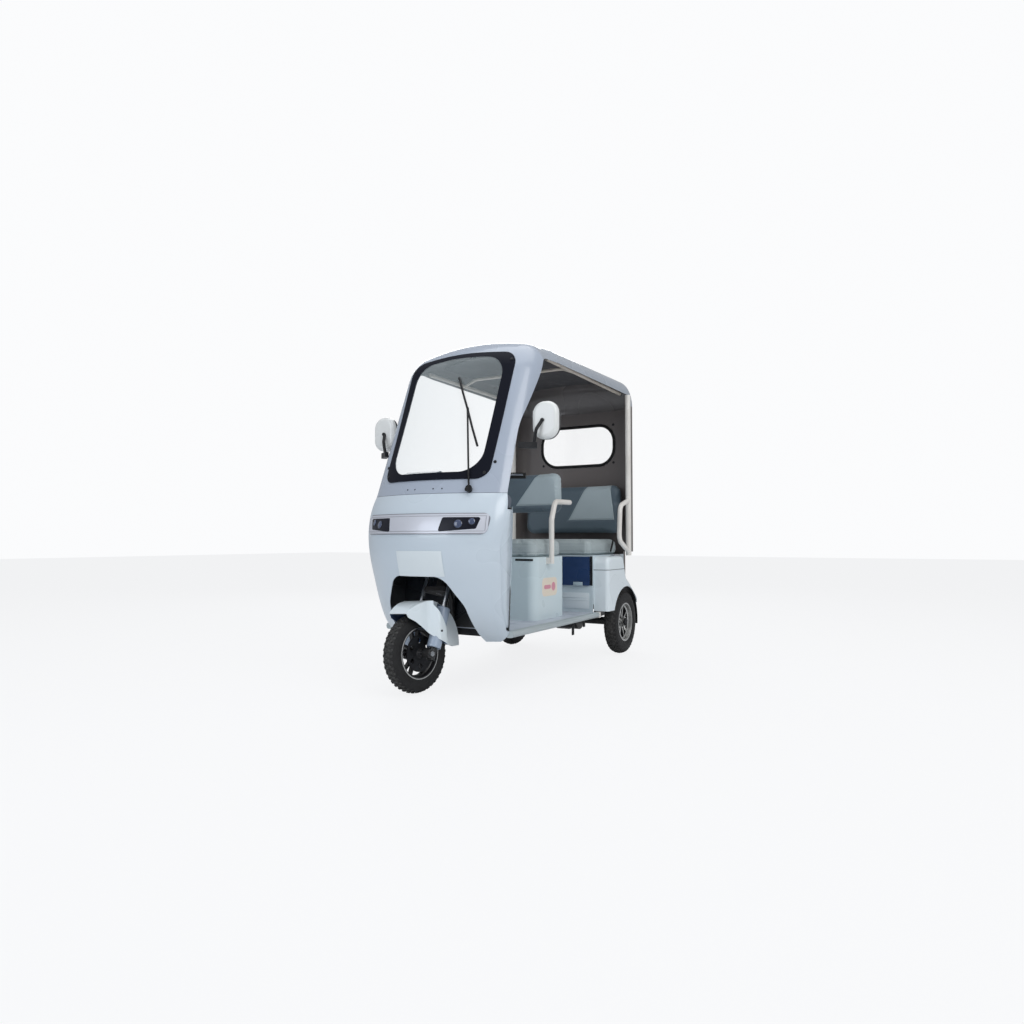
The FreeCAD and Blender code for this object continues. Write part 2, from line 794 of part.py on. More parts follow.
def rear_wall():
    big = wall_solid(0)
    shell = big.cut(wall_solid(skin, roof_depth + 15)).cut(door_edge())
    pane = wall_solid(skin).cut(wall_solid(skin + 4, roof_depth + 15))
    return {
        "rear_wall": shell.cut(rear_window_outline()),
        "rear_window": pane.common(rear_window_outline(18)),
    }


def lamp_cut(grow=0):
    low = parting_height - 208 - grow
    high = parting_height - 103 + grow
    outline = [(-372 - grow, low), (-385 - grow, high), (385 + grow, high), (372 + grow, low)]
    return front_prism(outline, 30 + grow / 2, 400, 1200)


def lamps():
    """A flush band across the nose with a dark lamp unit let into each end of it."""
    layer = nose_solid(-lamp_plate).cut(nose_solid(0, nose_depth + 20))
    layer = layer.common(block((680, 1200), (-600, 600), (parting_height - 308, parting_height - 8)))
    band = layer.common(lamp_cut())
    units = []
    for side in (-1, 1):
        low = parting_height - 196
        high = parting_height - 124
        outline = [(side * 150, low), (side * 165, high), (side * 345, high), (side * 328, low + 14)]
        units.append(front_prism(outline, 9, 400, 1200))
    return {
        "lamp_band": band.cut(units),
        "headlamps": Part.Compound([band.common(unit) for unit in units]),
    }


def seat_pedestal():
    """A hollow box on the floor that carries the driver's cushion."""
    top = cushion_bottom - seat_gap
    half = pedestal_half_width
    outline = [(pedestal_back, -half), (pedestal_back, half), (pedestal_front, half),
               (pedestal_front, -half)]
    inset = [(x + (skin if x < 0 else -skin), y + (skin if y < 0 else -skin)) for x, y in outline]
    outer = plan_prism(outline, [20, 20, 55, 55], floor_height, top)
    inner = plan_prism(inset, [16, 16, 51, 51], floor_height - 1, top - skin)
    return outer.cut(inner)


def battery_block():
    ends = (pedestal_back + 50, pedestal_front - 45)
    return block(ends, (-200, 200), (floor_height, cushion_bottom - 110))


def cushion(x, half, z, radius, edge):
    outline = [(x[0], -half), (x[0], half), (x[1], half), (x[1], -half)]
    pad = plan_prism(outline, radius, z[0], z[1])
    top = [e for e in pad.Edges if e.BoundBox.ZMin > z[1] - 0.1]
    return pad.makeFillet(edge, top)


def back_pad(x, low, high, half_low, half_high, thickness, radius):
    outline = [(-half_low, low), (-half_high, high), (half_high, high), (half_low, low)]
    pad = front_prism(outline, radius, x, x + thickness)
    front = [e for e in pad.Edges if e.BoundBox.XMin > x + thickness - 0.1]
    return pad.makeFillet(min(thickness, radius) * 0.45, front)


def seats():
    top = seat_height
    driver_half = pedestal_half_width + 8
    back_x = driver_back_x
    return {
        "driver_cushion": cushion((pedestal_back - 15, pedestal_front + 25), driver_half,
                                  (cushion_bottom, top), 50, 24),
        "driver_back": back_pad(back_x, top + 154, top + 438, driver_half + 4, driver_half - 8, 60, 60),
        "bench_cushion": cushion((bench_back_x, bench_front), bench_half_width,
                                 (cushion_bottom, top), 45, 24),
        "bench_back": back_pad(bench_back_x, top + 29, top + 409, 398, 392, 62, 70),
    }


def seat_frame():
    """White tubes at the driver's seat: an armrest each side that also carries the back."""
    y = pedestal_half_width + handle_radius + 12
    low = cushion_bottom - 42
    rest = seat_height + 232
    post = pedestal_front - 160
    back = driver_back_x - 12
    tube = bent_tube([vec(post, y, low), vec(post, y, rest - 110), vec(post - 48, y, rest),
                      vec(back, y, rest + 4)], handle_radius, 42)
    foot = block((post - 18, post + 18), (pedestal_half_width, y - 6), (low, low + 36))
    bar = block((back - 13, driver_back_x - seat_gap), (-y, y), (rest - 8, rest + 16))
    return fuse([tube, foot, mirrored(tube), mirrored(foot), bar])


def bench_box():
    """The hollow box under the rear bench, with the mouth that the flap closes."""
    half = fender_inner - seat_gap
    front = bench_front - 22
    top = cushion_bottom - seat_gap
    outer = block((wall_x + 40, front), (-half, half), (underside + 58, top))
    inner = block((wall_x + 44, front - skin), (-half + skin, half - skin),
                  (underside + 62, top - skin))
    riser = block((front - skin, front), (-half, half), (floor_height, underside + 60))
    mouth = block((front - 30, front + 5), (-flap_half(), flap_half()), (flap_bottom, flap_top - 6))
    return fuse([outer, riser]).cut([inner, mouth])


def flap_half():
    return fender_inner - 34


def storage_flap():
    """The lid over the mouth of the bench box, hung from its top edge, with a latch tab."""
    front = bench_front - 22
    half = flap_half() + 14
    low = flap_bottom - 14
    lid = block((front + seat_gap, front + flap_thickness), (-half, half), (low, flap_top))
    tab = block((front + flap_thickness, front + flap_thickness + 8), (-28, 28), (low, low + 26))
    return fuse([lid, tab])


def fender_outline(grow=0):
    """The side of the rear fender, as (x, z) points round its front, top and falling tail."""
    shoulder = rear_axle_x + 48
    back = rear_axle_x - 225
    brow = rear_tyre_radius + wheel_well_radius + 32
    return [
        (fender_front - grow, floor_height + 10), (fender_front - grow, fender_top - grow),
        (shoulder + grow, fender_top - grow), (rear_axle_x - 8 + grow, brow + 30 - grow),
        (rear_axle_x - 62 + grow, brow - grow), (back + grow, 372), (back + grow, 330),
        (rear_axle_x, 330), (rear_axle_x, floor_height + 10),
    ]


def rear_fender():
    """The shell over a rear wheel, open at its foot and round the tyre."""
    outer_y = fender_outer
    inner_y = fender_inner + seat_gap
    solid = side_prism(fender_outline(), [0, 55, 50, 40, 45, 30, 0, 0, 0], inner_y, outer_y)
    rim = [e for e in solid.Edges if e.BoundBox.YMin > outer_y - 0.1 and e.BoundBox.ZMax > 330]
    solid = solid.makeFillet(26, rim)
    core = side_prism(fender_outline(skin), [0, 51, 46, 44, 41, 26, 0, 0, 0], inner_y - 5,
                      outer_y - skin)
    core_rim = [e for e in core.Edges
                if e.BoundBox.YMin > outer_y - skin - 0.1 and e.BoundBox.ZMax > 330]
    core = core.makeFillet(22, core_rim)
    below = core.common(block((-1200, 0), (0, 600), (300, 336)))
    below.translate(vec(0, 0, -30))
    axle = vec(rear_axle_x, 300, rear_tyre_radius)
    well = rod(axle, axle + ACROSS * 200, wheel_well_radius)
    return solid.cut([core, below, well])


def mudguard():
    """The black liner round the top of a rear tyre, with its flap behind."""
    centre = vec(rear_axle_x, 0, rear_tyre_radius)
    y = (fender_inner + seat_gap, fender_outer - 9)
    radius = wheel_well_radius - 1
    outline = [(y[0], radius - 3), (y[0], radius), (y[1], radius), (y[1], radius - 3)]
    return ring(centre, outline, 158, 60)


def rear_panel():
    """The lower back of the body, between the wheels."""
    x = wall_x
    half = fender_inner - 2
    panel = block((x, x + skin), (-half, half), (360, wall_foot - seat_gap))
    ribs = [block((x, x + 38), (y, y + skin), (360, wall_foot - seat_gap)) for y in (-half, half - skin)]
    return fuse([panel] + ribs)


def tail_lamp():
    outline = [(262, 560), (262, 640), (345, 640), (345, 560)]
    return front_prism(outline, 14, wall_x - 10, wall_x)


def roof_frame():
    """Beige tubes under the roof: a rail along each side and a bow across."""
    y = cab_half_width - 34
    z = roof_skirt + 12
    rail = rod(vec(shoulder_x + 80, y, z), vec(wall_x + back_bend, y, z), 12)
    bow = bent_tube([vec(-150, -y, z), vec(-150, -y + 90, z + 36), vec(-150, y - 90, z + 36),
                     vec(-150, y, z)], 10, 80)
    return fuse([rail, mirrored(rail), bow])


def headliner():
    """A thin dark lining close under the level part of the roof."""
    level = roof_solid(skin + 16)[1].cut(roof_solid(skin + 16 + liner)[1])
    room = roof_half_width - 92
    return level.common(block((wall_x + back_bend + 15, shoulder_x - 20), (-room, room),
                              (roof_top - 200, roof_top)))


def pillar_place():
    return wall_x + wall_wrap + pillar_radius + 1, roof_half_width - 3


def rear_pillar():
    x, y = pillar_place()
    return rod(vec(x, y, fender_top), vec(x, y, roof_skirt - seat_gap), pillar_radius)


def grab_handle():
    """The bent handle beside the rear seat, from the pillar to the top of the fender."""
    x, y = pillar_place()
    path = [vec(x, y, 1046), vec(x + 158, y, 1003), vec(x + 180, y, 770), vec(x, y, 690)]
    return bent_tube(path, handle_radius, 60).cut(rear_pillar())


def dashboard():
    """The shelf behind the windscreen, with an instrument hood on it."""
    z = parting_height
    outline = [(545, z - 66), (528, z - 18), (600, z + 22), (812, z - 8), (800, z - 48), (600, z - 58)]
    shelf = side_prism(outline, [8, 20, 30, 0, 0, 20], -340, 340)
    hood = side_prism([(575, z - 8), (590, z + 102), (640, z + 140), (715, z + 118), (760, z + 2)],
                      [0, 14, 16, 16, 0], -250, -40)
    column = rod(on_fork(500, -fork_offset), on_fork(1100, -fork_offset), column_radius + 8)
    below = nose_solid(skin + 1, nose_depth + 150)
    above = screen_solid(skin + 1)[0]
    return fuse([shelf, hood]).common(below.fuse(above)).cut(column)


def leg_shield():
    """The inner panel in front of the driver's feet, with wings forward to the door edges."""
    def plan(x, z, wall):
        outline = [
            (x + 130 + wall, -430 + wall), (x + wall, -340 + wall), (x + wall, 340 - wall),
            (x + 130 + wall, 430 - wall),
        ]
        return wire_through([vec(px, py, z) for px, py in outline])

    low = (floor_front, floor_height)
    high = (545, parting_height - 68)
    solid = Part.makeLoft([plan(low[0], low[1], 0), plan(high[0], high[1], 0)], True, True)
    core = Part.makeLoft([plan(low[0], low[1] - 0.01, skin), plan(high[0], high[1] + 0.01, skin)],
                         True, True)
    inside = nose_solid(skin + seat_gap, nose_depth + 150)
    column = rod(on_fork(500, -fork_offset), on_fork(1100, -fork_offset), column_radius + 8)
    solid = solid.cut([core, neck(), column, both(sill())])
    return solid.common(inside).cut(door_edge_front())


def door_edge_front():
    """What lies behind the front edge of the doorway, left clear of the wings' tips."""
    return block((-200, floor_front - 60), (-600, 600), (0, 900))


def on_screen(y, height, proud=0):
    """A point on the windscreen's outer face, standing proud of it by a distance."""
    def skin_point(at_y, at_z):
        line = Part.makeLine(vec(roof_seam, at_y, at_z), vec(screen_foot_x + 100, at_y, at_z))
        return vec(screen_solid()[0].common(line).BoundBox.XMax, at_y, at_z)

    point = skin_point(y, height)
    if not proud:
        return point
    along = skin_point(y + 4, height) - skin_point(y - 4, height)
    upward = skin_point(y, height + 4) - skin_point(y, height - 4)
    return point + along.cross(upward).normalize() * proud


def wiper():
    """A single arm from a boss under the pane, with its blade lying on the glass."""
    boss_y = 254
    boss_z = parting_height + 16
    foot = on_screen(boss_y, boss_z, seat_gap + 0.5)
    boss = rod(foot, on_screen(boss_y, boss_z, 22), 17)
    elbow = on_screen(boss_y, boss_z, 16)
    top = on_screen(147, boss_z + 438, 24)
    over = glass_thickness + 8
    places = [(246, boss_z + 226), (195, boss_z + 330), (147, boss_z + 430), (92, boss_z + 533),
              (40, boss_z + 631)]
    points = [on_screen(y, z, over) for y, z in places]
    blade = [rod(a, b, 6) for a, b in zip(points, points[1:])]
    blade += [Part.makeSphere(6, point) for point in points[1:-1]]
    pivot = rod(points[2], top, 7)
    return fuse([boss, rod(elbow, top, 5), Part.makeSphere(5, elbow), Part.makeSphere(5, top), pivot]
                + blade)


def mirror():
    """A mirror beside the windscreen pillar: bracket and arm, oval shell, and glass behind."""
    centre = vec(507, 534, 1397)
    arm = bent_tube([vec(563, 489, 1262), vec(563, 505, 1345),
                     vec(centre.x + 24, centre.y - 10, centre.z)], 9, 24)
    outline = [(612, 426), (546, 494), (562, 512), (578, 510), (634, 436)]
    arm = fuse([arm, plan_prism(outline, [0, 10, 8, 10, 0], 1246, 1276)])
    arm = arm.cut(screen_solid()[0])
    half_y = 74
    half_z = 100
    outline = [(centre.y + a * half_y, centre.z + b * half_z)
               for a, b in ((-1, -1), (-1, 1), (1, 1), (1, -1))]
    shell = front_prism(outline, 66, centre.x - 20, centre.x + 26)
    front = [e for e in shell.Edges if e.BoundBox.XMin > centre.x + 25]
    shell = shell.makeFillet(24, front)
    outline = [(centre.y + a * (half_y - 5), centre.z + b * (half_z - 5))
               for a, b in ((-1, -1), (-1, 1), (1, 1), (1, -1))]
    glass = front_prism(outline, 62, centre.x - 22, centre.x - 17)
    return {
        "mirror_arms": arm.cut(shell),
        "mirror_shells": shell.cut(glass),
        "mirror_glasses": glass,
    }


def collect():
    """Every sub-part by name. Steered pieces are turned, and side pieces are doubled."""
    parts = {}
    for name, shape in {**front_wheel(), **fork(), **handlebar()}.items():
        parts[name] = steered(shape)
    parts["front_fender"] = steered(front_fender())
    for name, shape in rear_wheel().items():
        parts[name + "_left"] = shape
        parts[name + "_right"] = mirrored(shape)
    parts.update(windscreen())
    parts.update(rear_wall())
    parts.update(lamps())
    parts.update(seats())
    for name, shape in mirror().items():
        parts[name] = both(shape)
    parts["rear_fender_left"] = rear_fender()
    parts["rear_fender_right"] = mirrored(rear_fender())
    doubled = {
        "leaf_springs": leaf_spring(), "sills": sill(), "mudguards": mudguard(),
        "tail_lamps": tail_lamp(), "rear_pillars": rear_pillar(), "grab_handles": grab_handle(),
    }
    for name, shape in doubled.items():
        parts[name] = both(shape)
    parts.update({
        "chassis_frame": chassis_frame(), "rear_axle": rear_axle(), "floor_pan": floor_pan(),
        "nose_panel": nose_panel(), "roof_panel": roof_panel(), "seat_pedestal": seat_pedestal(),
        "battery_block": battery_block(), "seat_frame": seat_frame(), "bench_box": bench_box(),
        "storage_flap": storage_flap(), "rear_panel": rear_panel(), "roof_frame": roof_frame(),
        "headliner": headliner(), "dashboard": dashboard(), "leg_shield": leg_shield(),
        "wiper": wiper(),
    })
    return parts


if __name__ == "__main__":
    os.makedirs("parts", exist_ok=True)
    for name, shape in collect().items():
        shape.exportStep(f"parts/{name}.step")
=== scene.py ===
# %% [markdown]
# This lesson dresses a light electric passenger tricycle. The rigid parts come ready-made from a
# CAD package and are loaded as a fixed frame, in metres, with +X forward and +Z up. Nothing of
# them is moved here. They could be modelled again in Blender, but then they would drift from the
# engineering model, so this script only adds finishes, soft pieces and fine detail.
# %% Load the frame
import math

import bmesh
import bpy
import numpy as np
from mathutils import Matrix, Vector
from mathutils.bvhtree import BVHTree


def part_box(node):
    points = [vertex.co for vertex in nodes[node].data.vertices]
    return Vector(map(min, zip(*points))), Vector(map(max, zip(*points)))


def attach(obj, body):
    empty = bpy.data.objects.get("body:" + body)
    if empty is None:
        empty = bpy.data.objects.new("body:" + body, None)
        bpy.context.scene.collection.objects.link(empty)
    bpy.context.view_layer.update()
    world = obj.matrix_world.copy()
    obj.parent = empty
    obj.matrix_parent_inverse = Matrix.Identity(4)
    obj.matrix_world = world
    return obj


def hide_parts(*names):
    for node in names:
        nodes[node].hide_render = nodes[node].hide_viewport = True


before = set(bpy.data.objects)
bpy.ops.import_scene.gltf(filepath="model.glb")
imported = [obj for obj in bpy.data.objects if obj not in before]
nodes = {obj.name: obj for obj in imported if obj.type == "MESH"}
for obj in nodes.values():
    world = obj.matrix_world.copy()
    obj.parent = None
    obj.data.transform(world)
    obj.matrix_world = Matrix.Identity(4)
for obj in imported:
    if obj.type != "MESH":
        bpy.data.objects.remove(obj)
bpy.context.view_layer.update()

# %% [markdown]
# The camera stands where the photographer stood: low, in front and to the vehicle's left. It was
# solved from the ellipses of the three wheels, so it is simply written down. Placing it by eye
# would work too, but every later comparison with the photograph leans on it.
# %% Camera
camera_data = bpy.data.cameras.new("camera")
camera_data.lens = 25.49
camera_data.sensor_width = 36
camera = bpy.data.objects.new("camera", camera_data)
camera.location = (3.8756, 2.2382, 0.7716)
camera.rotation_euler = (math.pi / 2 + 0.03838, 0, 3.65719 - math.pi / 2)
bpy.context.scene.collection.objects.link(camera)
bpy.context.scene.camera = camera

# %% [markdown]
# Finishes are built from shader nodes. Wiring them by hand takes pages, so two small helpers do
# it: a wire is a socket that takes part in sums, and a finish is a material that adds any node
# by its type, its settings and its sockets. An expression such as 1 - mask then reads as maths.
# %% Shader helpers
class Wire:
    """An output socket that can be added, multiplied and compared like a number."""

    def __init__(self, finish, socket):
        self.finish = finish
        self.socket = socket

    def sum(self, operation, *values):
        return self.finish.add("Math", {"operation": operation}, dict(enumerate(values)))

    def __add__(self, other):
        return self.sum("ADD", self, other)

    __radd__ = __add__

    def __sub__(self, other):
        return self.sum("SUBTRACT", self, other)

    def __rsub__(self, other):
        return self.sum("SUBTRACT", other, self)

    def __mul__(self, other):
        return self.sum("MULTIPLY", self, other)

    __rmul__ = __mul__

    def __truediv__(self, other):
        return self.sum("DIVIDE", self, other)

    def __abs__(self):
        return self.sum("ABSOLUTE", self)

    def least(self, other):
        return self.sum("MINIMUM", self, other)

    def most(self, other):
        return self.sum("MAXIMUM", self, other)

    def step(self, start, end):
        """0 before start, 1 after end, and smooth between them."""
        sockets = {0: self, 1: start, 2: end}
        return self.finish.add("MapRange", {"interpolation_type": "SMOOTHSTEP"}, sockets)


class Finish:
    """A material. What is the same all over is set on the shader; the rest is wired to it."""

    def __init__(self, name, **constants):
        self.material = bpy.data.materials.new(name)
        self.material.use_nodes = True
        self.nodes = self.material.node_tree.nodes
        self.links = self.material.node_tree.links
        self.shader = self.nodes["Principled BSDF"]
        for key, value in constants.items():
            self.shader.inputs[key.replace("_", " ")].default_value = value

    def add(self, kind, settings=None, sockets=None, out=0):
        node = self.nodes.new("ShaderNode" + kind)
        for key, value in (settings or {}).items():
            setattr(node, key, value)
        for key, value in (sockets or {}).items():
            if isinstance(value, Wire):
                self.links.new(value.socket, node.inputs[key])
            else:
                node.inputs[key].default_value = value
        return Wire(self, node.outputs[out])

    def wire(self, socket, value):
        self.links.new(value.socket, self.shader.inputs[socket])

    def place(self):
        return self.add("TexCoord", out="Object")

    def axes(self):
        node = self.add("SeparateXYZ", None, {0: self.place()}).socket.node
        return [Wire(self, output) for output in node.outputs]

    def noise(self, scale, detail=2.0, stretch=None):
        vector = self.place()
        if stretch:
            vector = self.add("Mapping", None, {0: vector, "Scale": stretch})
        return self.add("TexNoise", None, {"Vector": vector, "Scale": scale, "Detail": detail})

    def reach(self, centre):
        """How far a point lies from a centre."""
        sockets = {0: self.place(), 1: centre}
        return self.add("VectorMath", {"operation": "DISTANCE"}, sockets, out="Value")

    def mix(self, mask, first, second):
        sockets = {0: mask, 6: first, 7: second}
        return self.add("Mix", {"data_type": "RGBA"}, sockets, out=2)

    def over(self, mask, colour):
        """Lays a colour over the base colour where the mask is 1."""
        under = Wire(self, self.shader.inputs["Base Color"].links[0].from_socket)
        self.wire("Base Color", self.mix(mask, under, colour))

    def bump(self, height, distance, strength=1.0):
        sockets = {"Strength": strength, "Distance": distance, "Height": height}
        self.wire("Normal", self.add("Bump", None, sockets))


def paint(red, green, blue):
    """A colour as a screen shows it, 0 to 255, in the linear numbers that a shader takes."""
    parts = [channel / 255 for channel in (red, green, blue)]
    parts = [c / 12.92 if c <= 0.04045 else ((c + 0.055) / 1.055) ** 2.4 for c in parts]
    return (*parts, 1.0)


# %% [markdown]
# The moulded panels are gelcoated glass fibre or thick plastic: a clear glossy skin over an even
# colour that drifts a little, with a breath of road dust near the ground. One recipe serves them
# all. A bump for the mould's waviness is left out, because it makes the polished skin look flaky.
# %% Moulded panels
def moulded(name, colour, shade, roughness=0.28, coat=0.5):
    """A moulded panel: colour drifts to shade in wide soft patches, with dust low down."""
    finish = Finish(name, Coat_Roughness=0.08)
    body = finish.mix(finish.noise(1.3, 0.0), colour, shade)
    dust = (1 - finish.axes()[2].step(0.22, 0.55)) * finish.noise(3.0, 0.0).step(0.3, 0.8) * 0.2
    finish.wire("Base Color", finish.mix(dust, body, paint(178, 176, 170)))
    finish.wire("Roughness", finish.noise(4.0, 0.0) * 0.1 + (roughness - 0.05) + dust * 0.4)
    finish.wire("Coat Weight", (1 - dust) * coat)
    return finish


def joint_or_crease_shade(finish, level, width=0.0016):
    """Adds a dark line round the body at one height: the joint between two panels, or painted shade along a
    crease.
    """
    joint_or_shade_line = 1 - abs(finish.axes()[2] - level).step(width * 0.5, width)
    finish.over(joint_or_shade_line, paint(70, 78, 90))
    return finish


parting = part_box("nose_panel")[1].z
shaded_crease = 0.576
ice_blue = joint_or_crease_shade(moulded("ice_blue_panel", paint(201, 213, 223), paint(192, 205, 216)), parting)
lilac = joint_or_crease_shade(moulded("lilac_frame", paint(168, 178, 193), paint(160, 171, 187)), parting)
# On the rear fenders the dark line lies along a crease; there it is painted shade, not a joint.
fender_blue = joint_or_crease_shade(moulded("ice_blue_fender", paint(230, 240, 245), paint(220, 232, 239)), shaded_crease, 0.003)
box_blue = moulded("ice_blue_box", paint(206, 220, 227), paint(195, 211, 219))
pale_plastic = moulded("pale_plastic", paint(178, 196, 204), paint(166, 184, 193), 0.42, 0.15)
slate_plastic = moulded("slate_plastic", paint(96, 104, 116), paint(84, 92, 104), 0.45, 0.1)
wall_grey = moulded("wall_fibre", paint(112, 106, 104), paint(98, 92, 91), 0.5, 0.08)
tail_red = moulded("tail_red", paint(158, 18, 20), paint(128, 10, 14), 0.16, 0.8)
screen_black = moulded("screen_border", paint(4, 8, 22), paint(7, 12, 28), 0.5, 0.0)
screen_black.shader.inputs["Specular IOR Level"].default_value = 0.15
print("parting line at", round(parting, 3))

# %% [markdown]
# Some shells show two colours. A band is a mask on where a point lies, and the inside of a thin
# shell is found by asking whether a face looks towards a point in its middle. Two material slots
# would do as well, but the CAD meshes are never changed here. On the front fender and the leg
# shield the darker side is painted shade, not a second paint.
# %% Two-tone shells
def banded(name, colour, shade, band, mask_of):
    """A moulded panel with a second colour where mask_of(x, y, z) is 1."""
    finish = moulded(name, colour, shade)
    finish.over(mask_of(*finish.axes()), band)
    return finish


def two_sided(name, colour, shade, inner, middle):
    """A thin shell with a second colour on the side that looks towards a point in the middle. On the front
    fender and the leg shield one of the two colours is painted shade.
    """
    finish = moulded(name, colour, shade)
    inward = finish.add("VectorMath", {"operation": "SUBTRACT"}, {0: middle, 1: finish.place()})
    normal = finish.add("NewGeometry", out="Normal")
    towards = finish.add("VectorMath", {"operation": "DOT_PRODUCT"}, {0: inward, 1: normal}, out="Value")
    finish.over(towards.step(0.0, 0.02), inner)
    return finish


roof_grey = two_sided("roof_shell", paint(160, 168, 179), paint(150, 159, 170), paint(92, 88, 88),
                      (-0.35, 0, 1.45))
# The fender's inner side, which faces the axle, is painted dark blue-grey: painted shade with a bluish cast
# under the fender and on its turned-in skirt.
arch_with_painted_shade = two_sided("front_fender_painted_shade", paint(230, 240, 245), paint(220, 232, 239),
                      paint(84, 108, 148), (0.9, 0, 0.199))
# The leg shield's front, seen only through gaps behind the nose, is painted near black as painted shade of
# the hollow there; its rear face and its side flanges beyond 0.41 m keep the pale plastic colour.
shield_with_painted_shade = two_sided("leg_shield_painted_shade", paint(28, 32, 38), paint(22, 26, 32), paint(178, 194, 203),
                        (-0.6, 0, 0.7))
shield_with_painted_shade.over(abs(shield_with_painted_shade.axes()[1]).step(0.41, 0.415), paint(178, 194, 203))
navy = banded("navy_flap", paint(26, 56, 102), paint(20, 46, 88), paint(150, 168, 188),
              lambda x, y, z: x.step(-0.478, -0.477))
shell_white = banded("mirror_white", paint(232, 234, 233), paint(222, 225, 224), paint(24, 25, 27),
                     lambda x, y, z: 1 - x.step(0.501, 0.503))

# %% [markdown]
# A plain cream patch with two pink shapes sits on each side of the driver's box, like a film cut by
# a plotter. Round corners come from one sum: the distance to a smaller box, less a radius.
# %% Patch on the driver's box
def spot_mask(x, z, centre, half, corner):
    """1 inside a rounded rectangle seen from the side, and 0 outside."""
    across = (abs(x - centre[0]) - (half[0] - corner)).most(0)
    up = (abs(z - centre[1]) - (half[1] - corner)).most(0)
    reach = across.sum("SQRT", across * across + up * up)
    return 1 - reach.step(corner - 0.0006, corner + 0.0006)


box_badge = moulded("driver_box", paint(214, 228, 232), paint(202, 219, 225))
x, y, z = box_badge.axes()
on_side = abs(y).step(0.274, 0.2748)
box_badge.over(spot_mask(x, z, (-0.05, 0.49), (0.1, 0.055), 0.03) * on_side, paint(234, 222, 204))
dot = spot_mask(x, z, (-0.10, 0.49), (0.026, 0.026), 0.026)
dash = spot_mask(x, z, (-0.02, 0.49), (0.045, 0.012), 0.012)
box_badge.over(dot.most(dash) * on_side, paint(214, 140, 158))

# %% [markdown]
# Black plastic and rubber trim is never quite black: it greys where it is rubbed, and it has a
# fine pebble from the mould. Paint on the tubes has a slight orange peel instead. Both are a
# noise in the bump, and the scale of the noise tells the eye which is which.
# %% Trim, tubes and metals
def trim(name, colour, worn, roughness, pebble, depth):
    """Moulded black trim with a pebbled skin, greyed in patches."""
    finish = Finish(name, Specular_IOR_Level=0.3)
    rubbed = finish.noise(14.0, 6.0).step(0.45, 0.8)
    finish.wire("Base Color", finish.mix(rubbed, colour, worn))
    finish.wire("Roughness", rubbed * 0.18 + roughness)
    finish.bump(finish.noise(pebble, 3.0), depth)
    return finish


def enamel(name, colour, shade, roughness, metallic=0.0, peel=260.0):
    """Sprayed paint on steel, with orange peel and a duller, dirtier tone in patches."""
    finish = Finish(name, Metallic=metallic, Coat_Roughness=0.12, Coat_Weight=0.25)
    patch = finish.noise(7.0, 5.0).step(0.4, 0.75)
    finish.wire("Base Color", finish.mix(patch, colour, shade))
    finish.wire("Roughness", patch * 0.15 + roughness)
    finish.bump(finish.noise(peel, 2.0), 0.00008)
    return finish


def bright(name, colour, roughness, stretch):
    """Bare or plated metal, with polishing lines along one axis."""
    finish = Finish(name, Metallic=1.0)
    lines = finish.noise(60.0, 4.0, stretch)
    finish.wire("Base Color", finish.mix(lines, colour, tuple(0.6 * c for c in colour)))
    finish.wire("Roughness", lines * 0.16 + roughness)
    finish.bump(lines, 0.00003, 0.6)
    return finish


black_trim = trim("black_trim", paint(22, 23, 26), paint(44, 45, 48), 0.38, 700.0, 0.00012)
rubber_black = trim("rubber_black", paint(24, 24, 25), paint(46, 46, 46), 0.62, 500.0, 0.0002)
liner_grey = trim("roof_lining", paint(70, 70, 73), paint(92, 91, 93), 0.8, 1600.0, 0.0004)
frame_black = enamel("frame_black", paint(26, 27, 29), paint(48, 46, 44), 0.42)
tube_white = enamel("tube_white", paint(232, 229, 224), paint(220, 216, 210), 0.3)
tube_beige = enamel("tube_beige", paint(205, 196, 184), paint(190, 180, 168), 0.36)
cover_blue = enamel("cover_blue", paint(156, 171, 190), paint(142, 157, 177), 0.34)
chrome = bright("chrome", paint(222, 224, 228), 0.1, (1, 1, 0.05))
steel = bright("machined_steel", paint(182, 186, 190), 0.24, (0.05, 1, 1))
dark_steel = bright("dark_steel", paint(58, 59, 62), 0.42, (1, 0.05, 1))

# %% [markdown]
# The floor is a sheet with a grey-blue coating, and the sills are extruded aluminium. The floor
# carries rows of small raised studs for grip, which one wave texture across the other gives for
# nothing, while modelling them would cost a hundred thousand faces.
# %% Floor and sills
floor_coat = Finish("floor_coat")
across = floor_coat.add("TexWave", {"bands_direction": "X"},
                        {"Vector": floor_coat.place(), "Scale": 13.0})
along = floor_coat.add("TexWave", {"bands_direction": "Y"},
                       {"Vector": floor_coat.place(), "Scale": 13.0})
studs = (across * along).step(0.55, 0.8)
scuff = floor_coat.noise(11.0, 7.0).step(0.42, 0.72)
floor_tone = floor_coat.mix(scuff, paint(196, 203, 214), paint(176, 184, 197))
floor_coat.wire("Base Color", floor_tone)
floor_coat.wire("Roughness", scuff * 0.2 + 0.42)
floor_coat.bump(studs, 0.0005, 0.6)

sill_alloy = Finish("sill_alloy", Metallic=0.25)
drawn = sill_alloy.noise(40.0, 3.0, (0.03, 1, 1))
sill_alloy.wire("Base Color", sill_alloy.mix(drawn, paint(196, 205, 207), paint(160, 172, 176)))
sill_alloy.wire("Roughness", drawn * 0.15 + 0.3)
sill_alloy.bump(drawn, 0.00005)

